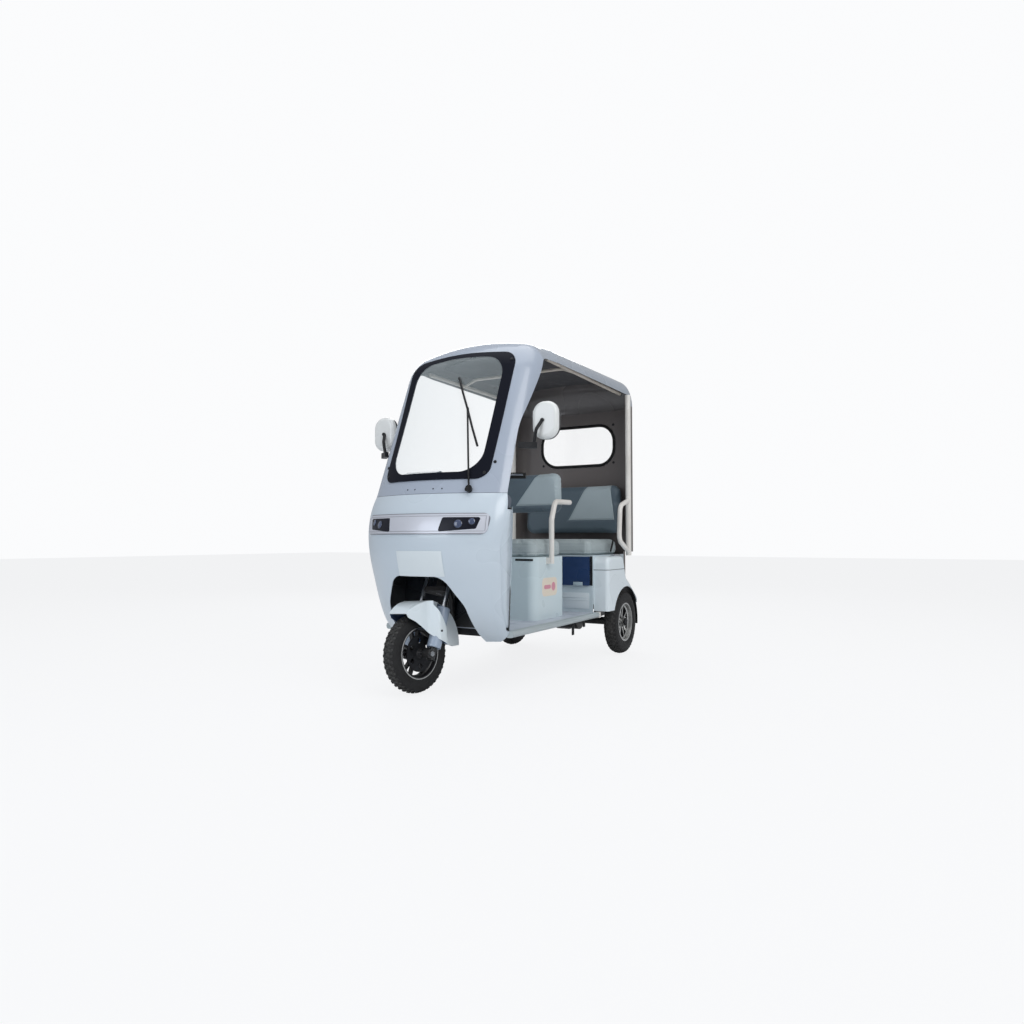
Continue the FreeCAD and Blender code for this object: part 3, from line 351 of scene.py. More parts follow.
# %% [markdown]
# The cab glass is thin and clear, so a real refracting material would only make it dark. Alpha
# is enough: almost nothing head on, more at the rim of a curve, where the pale base colour is a
# painted reflection.
# %% Glass
def clear(name, colour, least, most):
    finish = Finish(name, Base_Color=colour, Roughness=0.03, IOR=1.5)
    # The pale base colour shown more at grazing angles is a painted reflection; the smears are real dirt.
    painted_rim_reflection = finish.add("LayerWeight", None, {"Blend": 0.35}, out="Facing")
    smears = finish.noise(5.0, 5.0, (1, 1, 0.2)).step(0.5, 0.9) * 0.03
    finish.wire("Alpha", painted_rim_reflection * (most - least) + least + smears)
    return finish


cab_glass = clear("cab_glass", paint(214, 228, 232), 0.05, 0.35)
rear_pane = clear("rear_pane", paint(222, 230, 232), 0.03, 0.3)
silvering = Finish("mirror_silver", Metallic=1.0)
silvering.wire("Base Color", silvering.mix(silvering.noise(6.0), paint(214, 220, 226),
                                           paint(198, 206, 214)))
silvering.wire("Roughness", silvering.noise(20.0, 4.0).step(0.6, 0.9) * 0.1 + 0.03)

# %% [markdown]
# Cast wheels are painted black and then turned on a lathe, which bares a bright ring at the lip
# and, on the rear pair, the faces of the spokes. The paint and the bare metal are one material:
# how far a point lies from the wheel's centre, and how far out, tells which of them it is.
# %% Cast wheels
def cast_wheel(name, centre, bare_from, bare_to, face):
    """Black paint, bright metal between two distances from the centre, or on the outer face."""
    finish = Finish(name)
    spot = finish.reach(centre)
    lip = spot.step(bare_from - 0.0008, bare_from) * (1 - spot.step(bare_to, bare_to + 0.001))
    bare = lip
    if face:
        outward = abs(finish.axes()[1]) - (abs(centre[1]) + face)
        bare = lip.most(outward.step(-0.0012, -0.0006))
    swirl = finish.noise(90.0, 4.0)
    black = finish.mix(finish.noise(16.0, 5.0), paint(20, 20, 22), paint(40, 40, 43))
    metal = finish.mix(swirl, paint(206, 207, 206), paint(168, 168, 166))
    finish.wire("Base Color", finish.mix(bare, black, metal))
    finish.wire("Metallic", bare * 0.9)
    finish.wire("Roughness", swirl * 0.12 + 0.34 - bare * 0.1)
    finish.bump(swirl, 0.00006)
    return finish


front_hub = Vector((0.903, 0, 0.199))
rear_hub = Vector((-0.832, 0.4215, 0.213))
front_cast = cast_wheel("front_cast_wheel", front_hub, 0.1275, 0.140, None)
rear_hubs = {"left": rear_hub, "right": Vector((rear_hub.x, -rear_hub.y, rear_hub.z))}
rear_casts = [cast_wheel("rear_cast_wheel_" + side, hub, 0.1275, 0.142, 0.011)
              for side, hub in rear_hubs.items()]

# %% [markdown]
# Each CAD node now takes a finish through its material slot. A table keeps the choice in view,
# and a last line proves that no node was forgotten.
# %% Dress the nodes
def dress(names, finish):
    for name in names.split():
        slots = nodes[name].data.materials
        slots.clear()
        slots.append(finish.material)


dress("nose_panel", ice_blue)
dress("windscreen_frame", lilac)
dress("roof_panel", roof_grey)
dress("rear_wall rear_panel", wall_grey)
dress("rear_fender_left rear_fender_right", fender_blue)
dress("dashboard", slate_plastic)
dress("leg_shield", shield_with_painted_shade)
dress("front_fender", arch_with_painted_shade)
dress("seat_pedestal", box_badge)
dress("storage_flap", navy)
dress("mirror_shells", shell_white)
dress("tail_lamps", tail_red)
dress("windscreen_border", screen_black)
dress("wiper mirror_arms mudguards", black_trim)
dress("windscreen_glass", cab_glass)
dress("rear_window", rear_pane)
dress("mirror_glasses", silvering)
dress("headliner", liner_grey)
dress("chassis_frame leaf_springs rear_axle battery_block fork_sliders fork_yokes", frame_black)
dress("steering_column fork_stanchions front_axle brake_levers bar_clamp", chrome)
dress("handlebar", black_trim)
dress("grips", rubber_black)
dress("front_disc", dark_steel)
dress("fork_covers", cover_blue)
dress("rear_pillars grab_handles seat_frame", tube_white)
dress("roof_frame", tube_beige)
dress("floor_pan", floor_coat)
dress("sills", sill_alloy)
dress("bench_box", box_blue)
dress("front_rim", front_cast)
dress("rear_rim_left", rear_casts[0])
dress("rear_rim_right", rear_casts[1])

# %% [markdown]
# New pieces all end the same way: the mesh is welded, its normals are turned outwards, it gets a
# finish, and it rides on the body that carries it. One helper does it, so that no step is missed.
# %% Piece helper
def piece(name, work, body, finish, sharp=38.0, modifiers=()):
    """Turns a bmesh into a finished piece of the vehicle."""
    bmesh.ops.remove_doubles(work, verts=work.verts, dist=1e-6)
    bmesh.ops.recalc_face_normals(work, faces=work.faces)
    mesh = bpy.data.meshes.new(name)
    work.to_mesh(mesh)
    work.free()
    mesh.polygons.foreach_set("use_smooth", [True] * len(mesh.polygons))
    mesh.set_sharp_from_angle(angle=math.radians(sharp))
    mesh.materials.append(finish.material)
    made = bpy.data.objects.new(name, mesh)
    bpy.context.scene.collection.objects.link(made)
    for kind, settings in modifiers:
        modifier = made.modifiers.new(kind.lower(), kind)
        for key, value in settings.items():
            setattr(modifier, key, value)
    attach(made, body)
    return made


def slab(work, low, high, bevel=0.0, segments=2, turn=None):
    """A box between two corners, with rounded edges, added to a bmesh."""
    low, high = Vector(low), Vector(high)
    size = Matrix.Diagonal((*(high - low), 1))
    box = bmesh.ops.create_cube(work, size=1, matrix=Matrix.Translation((low + high) / 2) @ size)
    made = box["verts"]
    if bevel:
        edges = list({edge for vert in made for edge in vert.link_edges})
        rounded = bmesh.ops.bevel(work, geom=edges, offset=bevel, segments=segments, affect="EDGES",
                                  profile=0.5, material=-1)
        made = list({vert for face in rounded["faces"] for vert in face.verts})
        loose = {vert for edge in rounded["edges"] for vert in edge.verts}
        made = list(set(made) | loose)
    if turn is not None:
        bmesh.ops.transform(work, matrix=turn, verts=made)
    return made


def both_slabs(work, low, high, bevel=0.0, turn=None):
    """The same box on the left and on the right."""
    slab(work, low, high, bevel, turn=turn)
    slab(work, (low[0], -high[1], low[2]), (high[0], -low[1], high[2]), bevel, turn=turn)


def peg(work, foot, direction, radius, height, segments=24, bevel=0.0):
    """A round or many-sided peg that stands on a point, added to a bmesh."""
    turn = Vector(direction).to_track_quat("Z", "Y").to_matrix().to_4x4()
    place = Matrix.Translation(Vector(foot) + Vector(direction).normalized() * height / 2) @ turn
    made = bmesh.ops.create_cone(work, cap_ends=True, segments=segments, radius1=radius,
                                 radius2=radius, depth=height, matrix=place)
    if bevel:
        tip = Vector(foot) + Vector(direction).normalized() * height
        rim = [edge for edge in {e for v in made["verts"] for e in v.link_edges}
               if all((vert.co - tip).dot(Vector(direction)) > -1e-5 for vert in edge.verts)]
        bmesh.ops.bevel(work, geom=rim, offset=bevel, segments=3, affect="EDGES", profile=0.5,
                        material=-1)


surfaces = {}


def meets(node, start, direction):
    """Where a line first meets a CAD node and the normal there, or None if it passes by."""
    if node not in surfaces:
        depsgraph = bpy.context.evaluated_depsgraph_get()
        surfaces[node] = BVHTree.FromObject(nodes[node], depsgraph)
    point, normal, _, _ = surfaces[node].ray_cast(Vector(start), Vector(direction).normalized())
    if point is None:
        return None
    return point, normal if normal.dot(Vector(direction)) < 0 else -normal


def touch(node, start, direction):
    found = meets(node, start, direction)
    if found is None:
        raise ValueError(f"{node} is not met from {start}")
    return found


# %% [markdown]
# A tyre is a rubber ring with a tread cut into it. The carcass is one profile spun round the
# axle, and the tread is a few bevelled blocks repeated round it, which costs little because each
# block has only a few dozen faces. A texture could fake the tread, but its edge would stay round.
# %% Tyres
def tyre_finish(name, centre, tread_from):
    """Rubber: dusty on the tread, darker and smoother on the sidewall."""
    finish = Finish(name, Specular_IOR_Level=0.35)
    tread = finish.reach(centre).step(tread_from - 0.004, tread_from + 0.002)
    grit = finish.noise(60.0, 8.0).step(0.35, 0.8)
    side = finish.mix(finish.noise(12.0, 5.0), paint(22, 22, 23), paint(36, 36, 37))
    worn = finish.mix(grit, paint(52, 52, 52), paint(88, 87, 85))
    finish.wire("Base Color", finish.mix(tread * 0.75, side, worn))
    finish.wire("Roughness", grit * 0.15 + 0.6)
    finish.bump(finish.noise(380.0, 4.0), 0.00025)
    return finish


def tread_row(work, radius, crown, y, size, skew, pitches, lead):
    """One row of blocks round the tyre, lying on its crown and slanted by skew."""
    tilt = math.asin(y / crown)
    height = radius - (crown - math.sqrt(crown**2 - y**2))
    place = (Matrix.Rotation(lead, 4, "Y") @ Matrix.Translation((0, y, height - size[2] / 2))
             @ Matrix.Rotation(-tilt, 4, "X") @ Matrix.Rotation(skew, 4, "Z"))
    block = bmesh.ops.create_cube(work, size=1, matrix=place @ Matrix.Diagonal((*size, 1)))
    edges = list({edge for vert in block["verts"] for edge in vert.link_edges})
    rounded = bmesh.ops.bevel(work, geom=edges, offset=0.0009, segments=1, affect="EDGES",
                              profile=0.5, material=-1)
    faces = rounded["faces"]
    verts = list({vert for face in faces for vert in face.verts})
    geom = verts + list({edge for vert in verts for edge in vert.link_edges}) + \
        list({face for vert in verts for face in vert.link_faces})
    bmesh.ops.spin(work, geom=geom, cent=(0, 0, 0), axis=(0, 1, 0), steps=pitches - 1,
                   angle=math.tau / pitches * (pitches - 1), use_duplicate=True)


def tyre(name, radius, width, centre, turn, body, finish, replaced):
    """The carcass, spun from half a profile and mirrored, and its rows of tread."""
    half = width / 2
    shoulder = radius - 0.14 * width
    crown = ((0.8 * half) ** 2 + (radius - shoulder) ** 2) / (2 * (radius - shoulder))
    work = bmesh.new()
    outline = [(0.74 * half, 0.1225), (0.86 * half, 0.128), (0.95 * half, 0.138), (half * 0.985, 0.150),
               (half * 0.992, 0.1505), (half * 0.992, 0.1525), (half * 0.985, 0.153),
               (0.99 * half, (0.122 + shoulder) / 2 + 0.004), (0.95 * half, shoulder - 0.013),
               (0.86 * half, shoulder - 0.004), (0.6 * half, radius - 0.0115), (0.3 * half, radius - 0.0072),
               (0, radius - 0.0058)]
    outline = outline + [(-y, r) for y, r in outline[-2::-1]]
    verts = [work.verts.new((0, y, r)) for y, r in outline]
    edges = [work.edges.new(pair) for pair in zip(verts, verts[1:] + verts[:1])]
    bmesh.ops.spin(work, geom=verts + edges, cent=(0, 0, 0), axis=(0, 1, 0), angle=2 * math.pi,
                   steps=88, use_merge=True)
    for side in (-1, 1):
        for share, long, wide, skew, lead in ((0.13, 0.011, 0.2, 0.5, 0), (0.4, 0.012, 0.26, 0.75, 0.045),
                                              (0.7, 0.0115, 0.3, 0.25, 0.11)):
            size = (long, wide * half, 0.008)
            tread_row(work, radius, crown, side * share * half, size, side * skew, 40, lead)
    bmesh.ops.transform(work, matrix=turn @ Matrix.Translation(centre), verts=work.verts)
    made = piece(name, work, body, finish, 30)
    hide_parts(replaced)
    return made


rake = math.radians(24)
climb = Vector((-math.sin(rake), 0, math.cos(rake)))
ahead = Vector((math.cos(rake), 0, math.sin(rake)))
pivot = front_hub - ahead * 0.062
parked = (Matrix.Translation(pivot) @ Matrix.Rotation(math.radians(-9), 4, climb)
          @ Matrix.Translation(-pivot))
front_rubber = tyre_finish("front_rubber", front_hub, 0.189)
tyre("front_tyre_tread", 0.1987, 0.080, front_hub, parked, "front_wheel", front_rubber, "front_tyre")
for side, hub in rear_hubs.items():
    rubber = tyre_finish("rear_rubber_" + side, hub, 0.203)
    tyre("rear_tyre_tread_" + side, 0.2127, 0.090, hub, Matrix.Identity(4), "rear_wheel_" + side, rubber,
         "rear_tyre_" + side)

# %% [markdown]
# Seat pads are foam under a sewn cover. A real cover is cut a little small and the foam fills it,
# so the pad crowns in the middle and pulls in at its seams. The cloth solver makes just that: a
# shape slightly smaller than the pad is blown up under light pressure, and stopped before it
# grows too far. Seams are pressed in afterwards, because the solver's mesh is too coarse for them.
# %% Cloth pass for the pads
def stuffed(name, node, shrink, voxel, cap, seam, finish, frames=20):
    """A cushion blown up from its CAD block. seam gives a depth for each point of the cover."""
    low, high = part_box(node)
    middle = (low + high) / 2
    size = high - low
    scale = [max(0.5, 1 - 2 * shrink / extent) for extent in size]
    work = bmesh.new()
    work.from_mesh(nodes[node].data)
    bmesh.ops.remove_doubles(work, verts=work.verts, dist=1e-5)
    fit = Matrix.Translation(middle) @ Matrix.Diagonal((*scale, 1)) @ Matrix.Translation(-middle)
    bmesh.ops.transform(work, matrix=fit, verts=work.verts)
    mesh = bpy.data.meshes.new(name)
    work.to_mesh(mesh)
    work.free()
    pad = bpy.data.objects.new(name, mesh)
    bpy.context.scene.collection.objects.link(pad)
    remesh = pad.modifiers.new("remesh", "REMESH")
    remesh.mode = "VOXEL"
    remesh.voxel_size = voxel
    depsgraph = bpy.context.evaluated_depsgraph_get()
    pad.data = bpy.data.meshes.new_from_object(pad.evaluated_get(depsgraph))
    pad.modifiers.clear()
    before = np.empty(len(pad.data.vertices) * 3, np.float32)
    pad.data.vertices.foreach_get("co", before)
    cloth = pad.modifiers.new("cloth", "CLOTH")
    cloth.settings.use_pressure = True
    cloth.settings.uniform_pressure_force = 4
    cloth.settings.quality = 4
    cloth.settings.mass = 0.3
    cloth.settings.effector_weights.gravity = 0
    cloth.point_cache.frame_start = 1
    cloth.point_cache.frame_end = frames
    for number in range(1, frames + 1):
        bpy.context.scene.frame_set(number)
    depsgraph = bpy.context.evaluated_depsgraph_get()
    pad.data = bpy.data.meshes.new_from_object(pad.evaluated_get(depsgraph))
    pad.modifiers.clear()
    bpy.context.scene.frame_set(1)
    after = np.empty_like(before)
    pad.data.vertices.foreach_get("co", after)
    before = before.reshape(-1, 3)
    move = after.reshape(-1, 3) - before
    length = np.linalg.norm(move, axis=1, keepdims=True)
    move *= np.minimum(1, cap / np.maximum(length, 1e-9))
    points = before + move
    points[:, 2] = np.maximum(points[:, 2], low.z)
    pad.data.vertices.foreach_set("co", points.astype(np.float32).ravel())
    finer = bmesh.new()
    finer.from_mesh(pad.data)
    bmesh.ops.recalc_face_normals(finer, faces=finer.faces)
    bmesh.ops.smooth_vert(finer, verts=finer.verts, factor=0.5, use_axis_x=True, use_axis_y=True,
                          use_axis_z=True)
    bmesh.ops.subdivide_edges(finer, edges=finer.edges, cuts=1, use_grid_fill=True, smooth=1.0)
    finer.normal_update()
    for vert in finer.verts:
        depth = seam(vert.co)
        if depth > 0.00002:
            vert.co -= vert.normal * depth
    finer.to_mesh(pad.data)
    finer.free()
    pad.data.polygons.foreach_set("use_smooth", [True] * len(pad.data.polygons))
    pad.data.materials.clear()
    pad.data.materials.append(finish.material)
    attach(pad, "body")
    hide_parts(node)
    print(name, len(pad.data.polygons), "faces, swelled", round(float(length.max()) * 1000, 1), "mm")
    return pad


# %% [markdown]
# The covers are leathercloth: a fine pebble grain, soft gloss, and stitches beside each seam.
# The cushions are light grey. The back pads are slate blue with two light panels let in, and
# the line of each panel is the same sum in the seam's depth and in the colour's mask.
# %% Leathercloth
def leather(finish, colour, shade):
    """The colour of a cover, drifting a little, and its grain."""
    grain = finish.add("TexVoronoi", {"feature": "DISTANCE_TO_EDGE"},
                       {"Vector": finish.place(), "Scale": 420.0})
    finish.bump(grain.step(0.0, 0.25), 0.00022, 0.6)
    finish.wire("Roughness", finish.noise(24.0, 4.0) * 0.16 + 0.42)
    return finish.mix(finish.noise(5.0, 4.0), colour, shade)


def line_depth(distance, depth=0.0035, width=0.0045):
    return depth * math.exp(-(distance / width) ** 2)


def cushion_seam(node, drop):
    """The welt that runs round a cushion, a little above its foot, and one below its crown."""
    low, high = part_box(node)

    def seam(point):
        return line_depth(point.z - (low.z + 0.022)) + line_depth(point.z - (high.z - drop), 0.0015)
    return seam


driver_rise = (0.990, 0.792, -0.045)
bench_rise = (0.915, 0.585, -0.021)


def panel_edge(rise, outer, y, z, least):
    """How far a point lies inside the light panel of a back pad; for numbers and for wires."""
    foot, slope, start = rise
    inside = least((y - ((z - foot) * slope + start)) / math.hypot(1, slope), z - foot)
    return least(inside, outer - abs(y) - (z - foot) * 0.13) if outer else inside


def back_seam(node, rise, outer=None):
    low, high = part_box(node)

    def seam(point):
        if point.x < (low.x + high.x) / 2:
            return 0
        return line_depth(panel_edge(rise, outer, point.y, point.z, min), 0.005)
    return seam


cushion_cover = Finish("light_cushion", Sheen_Weight=0.15)
cushion_cover.wire("Base Color", leather(cushion_cover, paint(174, 186, 188), paint(164, 176, 179)))


def back_cover(name, rise, outer=None):
    finish = Finish(name, Sheen_Weight=0.1)
    x, y, z = finish.axes()
    inside = panel_edge(rise, outer, y, z, Wire.least)
    light = inside.step(-0.0008, 0.0008)
    stitch = (1 - abs(abs(inside) - 0.007).step(0.0004, 0.0009)) * 0.6
    slate = leather(finish, paint(86, 102, 113), paint(76, 92, 103))
    pale = finish.mix(finish.noise(6.0, 3.0), paint(170, 184, 189), paint(158, 172, 178))
    tone = finish.mix(light, slate, pale)
    finish.wire("Base Color", finish.mix(stitch, tone, paint(120, 130, 138)))
    return finish


driver_cover = back_cover("driver_back_cover", driver_rise)
bench_cover = back_cover("bench_back_cover", bench_rise, 0.337)
dress("driver_cushion bench_cushion", cushion_cover)

# %% [markdown]
# The pads differ in how far they start inside their block, how fine their cloth is and how far it
# may swell. The firm back pads swell least. The same solver could press a passenger's weight in,
# but a parked vehicle looks better with its seats at rest.
# %% The four pads
stuffed("driver_pad", "driver_cushion", 0.010, 0.006, 0.016, cushion_seam("driver_cushion", 0.03),
        cushion_cover)
stuffed("driver_back_pad", "driver_back", 0.008, 0.006, 0.014, back_seam("driver_back", driver_rise),
        driver_cover)
stuffed("bench_pad", "bench_cushion", 0.010, 0.007, 0.016, cushion_seam("bench_cushion", 0.03),
        cushion_cover)
stuffed("bench_back_pad", "bench_back", 0.008, 0.007, 0.014,
        back_seam("bench_back", bench_rise, 0.337), bench_cover)

# %% [markdown]
# The lamp band is a silvered moulding with a dark outline and a groove round it whose grey is
# painted shade, and dark lamp units at its ends. The outline is a mask on the distance to the
# band's edges. Each unit holds two round projectors, which are real domes in bright rings, so that they
# catch the light.
# %% Lamp band
low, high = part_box("lamp_band")
band = Finish("silver_band", Metallic=0.25, Coat_Weight=0.5, Coat_Roughness=0.08)
x, y, z = band.axes()
edge = (high.z - z).least(z - low.z).least(high.y - abs(y))
outline = 1 - edge.step(0.003, 0.005)
# The groove's grey is painted shade in the recess; the bump below also sinks it.
shaded_groove = edge.step(0.012, 0.0135) * (1 - edge.step(0.0155, 0.017))
satin = band.mix(band.noise(4.0, 2.0), paint(214, 217, 226), paint(196, 200, 211))
band.wire("Base Color", band.mix((outline * 0.75).most(shaded_groove * 0.45), satin, paint(92, 94, 104)))
band.wire("Roughness", band.noise(6.0, 2.0) * 0.08 + 0.34)
band.bump((outline + shaded_groove) * -1, 0.001)
dress("lamp_band", band)

def even(name, colour, shade, patch, gloss, **constants):
    """A smooth material whose colour and gloss drift a little."""
    finish = Finish(name, **constants)
    finish.wire("Base Color", finish.mix(finish.noise(*patch), colour, shade))
    scale, detail, spread, least = gloss
    finish.wire("Roughness", finish.noise(scale, detail) * spread + least)
    return finish


smoke = even("smoked_lamp", paint(8, 10, 22), paint(14, 18, 36), (9.0, 3.0), (8.0, 1.0, 0.06, 0.3),
             Specular_IOR_Level=0.25)
dress("headlamps", smoke)
lens_glass = even("projector_lens", paint(40, 50, 84), paint(78, 92, 120), (90.0, 2.0),
                  (60.0, 2.0, 0.05, 0.06), Coat_Weight=1.0, Coat_Roughness=0.02)
lenses = bmesh.new()
bezels = bmesh.new()
for side in (-1, 1):
    for y, z, size in ((0.246, 0.851, 0.021), (0.307, 0.863, 0.017)):
        point, normal = touch("headlamps", (1.3, side * y, z), (-1, 0, 0))
        turn = Matrix.Translation(point) @ normal.to_track_quat("Z", "Y").to_matrix().to_4x4()
        bmesh.ops.create_uvsphere(lenses, u_segments=32, v_segments=16, radius=size,
                                  matrix=turn @ Matrix.Diagonal((1, 1, 0.22, 1)))
        ring = bmesh.ops.create_circle(bezels, segments=10, radius=0.0016,
                                       matrix=turn @ Matrix.Translation((size + 0.001, 0, 0))
                                       @ Matrix.Rotation(math.pi / 2, 4, "X"))
        geom = ring["verts"] + list({e for v in ring["verts"] for e in v.link_edges})
        bmesh.ops.spin(bezels, geom=geom, cent=point, axis=normal, angle=2 * math.pi, steps=40,
                       use_merge=True)
piece("projector_lenses", lenses, "body", lens_glass)
piece("projector_rings", bezels, "body", dark_steel)

# %% [markdown]
# Small fasteners hold the cab together: black plastic buttons at the corners of the windscreen
# border, on the pillars and round the rear window. Each is a bevelled disc that stands on the
# panel under it, found by dropping a line on the CAD surface, so it never floats.
# %% Buttons
buttons = bmesh.new()


def button(work, node, start, direction, radius, height=0.004):
    point, normal = touch(node, start, direction)
    peg(work, point - normal * 0.0006, normal, radius, height, 20, height * 0.4)


for side in (-1, 1):
    for y, z in ((0.322, 1.748), (0.309, 1.112)):
        button(buttons, "windscreen_border", (1.4, side * y, z), (-1, 0, 0), 0.009)
    for spot in ((0.62, 0.8, 1.648), (0.80, 0.8, 1.17)):
        button(buttons, "windscreen_frame", (spot[0] - 0.09, side * spot[1], spot[2]),
               (0, -side, 0), 0.0085)
    for z in (1.335, 1.612):
        button(buttons, "rear_wall", (0.5, side * 0.285, z), (-1, 0, 0), 0.009)
    for y in (0.058, 0.109):
        button(buttons, "windscreen_frame", (1.4, side * y, 1.033), (-1, 0, 0), 0.004, 0.002)
piece("cab_buttons", buttons, "body", black_trim)

# %% [markdown]
# A bare number plate is a pressed sheet that follows the panel behind it. It starts as a flat
# grid whose points are dropped on the nose, which is what a press would do to it, and the plate's
# thickness is a modifier. The rear plate stands on a flat panel, so a plain slab is enough there.
# %% Plates and reflectors
plate_white = moulded("bare_plate", paint(222, 231, 235), paint(212, 222, 227), 0.34, 0.2)
sheet = bmesh.new()
bmesh.ops.create_grid(sheet, x_segments=14, y_segments=8, size=0.5,
                      matrix=Matrix.Translation((1.3, 0.034, 0.652)) @ Matrix.Rotation(math.pi / 2, 4, "Y")
                      @ Matrix.Diagonal((0.128, 0.267, 1, 1)))
for vert in sheet.verts:
    point, normal = touch("nose_panel", vert.co, (-1, 0, 0))
    vert.co = point + normal * 0.0022
piece("nose_plate", sheet, "body", plate_white, 60,
      [("SOLIDIFY", {"thickness": 0.002, "offset": 0}),
       ("BEVEL", {"width": 0.0006, "segments": 2, "limit_method": "ANGLE"})])
rear_plate = bmesh.new()
slab(rear_plate, (-1.0945, -0.12, 0.42), (-1.0895, 0.12, 0.525), 0.001)
piece("rear_plate", rear_plate, "body", plate_white)
reflectors = bmesh.new()
for side in (-1, 1):
    peg(reflectors, (-1.0895, side * 0.22, 0.47), (-1, 0, 0), 0.021, 0.006, 32, 0.002)
piece("rear_reflectors", reflectors, "body", tail_red)

# %% [markdown]
# Behind the door opening the nose panel turns in to meet the leg shield. That return is a narrow
# strip between two edges which are both given, so it is a grid of one column whose points are laid
# on them, height by height. A loft in the CAD model would do the same with much more care.
# %% Cowl returns
def first(node, places, least, side, z):
    """The first point of a node that lines from the side meet, over some places along the vehicle."""
    hits = (meets(node, (x, side * 0.8, z), (0, -side, 0)) for x in places)
    return next((hit[0] for hit in hits if hit and hit[0].y * side > least), None)


def edge_points(side):
    """Pairs of points, one on the rear edge of the nose and one on the leg shield, going up."""
    pairs = []
    for z in np.linspace(0.325, 0.925, 31):
        nose = first("nose_panel", np.arange(0.6, 0.8, 0.002), 0.25, side, z)
        wing = first("leg_shield", np.arange(0.70, 0.54, -0.002), 0.3, side, z)
        if nose and wing:
            pairs.append((nose, wing))
    return pairs


for side, word in ((1, "left"), (-1, "right")):
    pairs = edge_points(side)
    print(word, "return is", [round((nose - wing).length, 3) for nose, wing in pairs[::10]], "m wide")
    strip = bmesh.new()
    bmesh.ops.create_grid(strip, x_segments=1, y_segments=len(pairs) - 1, size=1)
    inward = Vector((0, -side * 0.0015, 0))
    rows = np.array_split(sorted(strip.verts, key=lambda v: (v.co.y, v.co.x)), len(pairs))
    for row, pair in zip(rows, pairs):
        for vert, spot in zip(row, pair):
            vert.co = spot + inward
    piece("cowl_return_" + word, strip, "body", ice_blue, 60,
          [("SOLIDIFY", {"thickness": 0.002, "offset": 0})])

# %% [markdown]
# The rear window sits in a rubber gasket. It is one quad with rounded corners, inset to a ring and
# pressed on the wall and the pane, whichever lies under each point, then thickened.
# %% Gasket
gasket = bmesh.new()
bmesh.ops.create_grid(gasket, x_segments=1, y_segments=1, size=0.5,
                      matrix=Matrix.Translation((-0.9, 0, 1.4675)) @ Matrix.Rotation(math.pi / 2, 4, "Y")
                      @ Matrix.Diagonal((0.313, 0.604, 1, 1)))
bmesh.ops.bevel(gasket, geom=gasket.verts[:], offset=0.134, segments=12, affect="VERTICES", profile=0.5,
                material=-1)
bmesh.ops.subdivide_edges(gasket, edges=[e for e in gasket.edges if e.calc_length() > 0.1], cuts=10)
ring = bmesh.ops.inset_region(gasket, faces=gasket.faces[:], thickness=0.020, use_boundary=True,
                              use_even_offset=True)["faces"]
bmesh.ops.delete(gasket, geom=[face for face in gasket.faces if face not in ring], context="FACES")
for vert in gasket.verts:
    found = meets("rear_wall", vert.co, (-1, 0, 0)) or meets("rear_window", vert.co, (-1, 0, 0))
    if found:
        vert.co = found[0] + found[1] * 0.003
piece("window_gasket", gasket, "body", rubber_black, 60,
      [("SOLIDIFY", {"thickness": 0.005, "offset": 0})])

# %% [markdown]
# The lower trim: white plugs close the ends of the sill tubes, a slot and a latch plate stand on
# the front of the driver's box, and the bench riser has a lighter inset with two pressed ribs. All
# are shallow slabs. They could be pressed into the panels, but as pieces they can be left out.
# %% Box and sill trim
plugs = bmesh.new()
both_slabs(plugs, (-0.513, 0.383, 0.2685), (-0.494, 0.4135, 0.3055), 0.003)
piece("sill_plugs", plugs, "body", tube_white)
slots = bmesh.new()
slab(slots, (0.1395, 0.143, 0.648), (0.1415, 0.262, 0.660), 0.0008)
slab(slots, (0.1395, 0.040, 0.446), (0.1435, 0.064, 0.510), 0.0015)
peg(slots, (0.143, 0.052, 0.492), (1, 0, 0), 0.008, 0.005, 24, 0.001)
both_slabs(slots, (-0.4925, 0.3475, 0.474), (-0.4890, 0.3655, 0.664), 0.001)
piece("box_slots", slots, "body", black_trim)
insets = bmesh.new()
both_slabs(insets, (-0.4925, 0.131, 0.322), (-0.4895, 0.340, 0.426), 0.0012)
for z in (0.378, 0.396):
    both_slabs(insets, (-0.4900, 0.143, z - 0.003), (-0.4868, 0.328, z + 0.003), 0.0012)
riser_blue = moulded("riser_blue", paint(222, 232, 237), paint(212, 224, 231), 0.36, 0.2)
piece("riser_insets", insets, "body", riser_blue)
tabs = bmesh.new()
both_slabs(tabs, (-0.4705, 0.238, 0.475), (-0.4655, 0.304, 0.497), 0.0014)
piece("flap_tabs", tabs, "flap", pale_plastic)

# %% [markdown]
# Small metal pieces hang on what the frame already has: a webbing strap round the bench, chrome
# toggle latches on the rear fenders, and steel hangers under the floor. Where a surface is curved
# the height is measured by a dropped line and not typed, so each piece stays seated.
# %% Strap, latches and hangers
strap = bmesh.new()
lean = Matrix.Translation((-0.831, 0, 0.7285)) @ Matrix.Rotation(math.radians(-33), 4, "Y")
both_slabs(strap, (-0.0125, 0.3625, -0.046), (0.0125, 0.3655, 0.046), 0.001, lean)
piece("bench_strap", strap, "body", rubber_black)
latches = bmesh.new()
for fender, y in (("rear_fender_left", 0.43), ("rear_fender_right", -0.43)):
    top = touch(fender, (-0.74, y, 1.0), (0, 0, -1))[0].z
    slab(latches, (-0.80, y - 0.012, top - 0.001), (-0.66, y + 0.012, top + 0.004), 0.0015)
    slab(latches, (-0.79, y - 0.008, top + 0.003), (-0.70, y + 0.008, top + 0.012), 0.003)
    peg(latches, (-0.685, y - 0.014, top + 0.008), (0, 1, 0), 0.005, 0.028, 20)
piece("fender_latches", latches, "body", chrome)
hangers = bmesh.new()
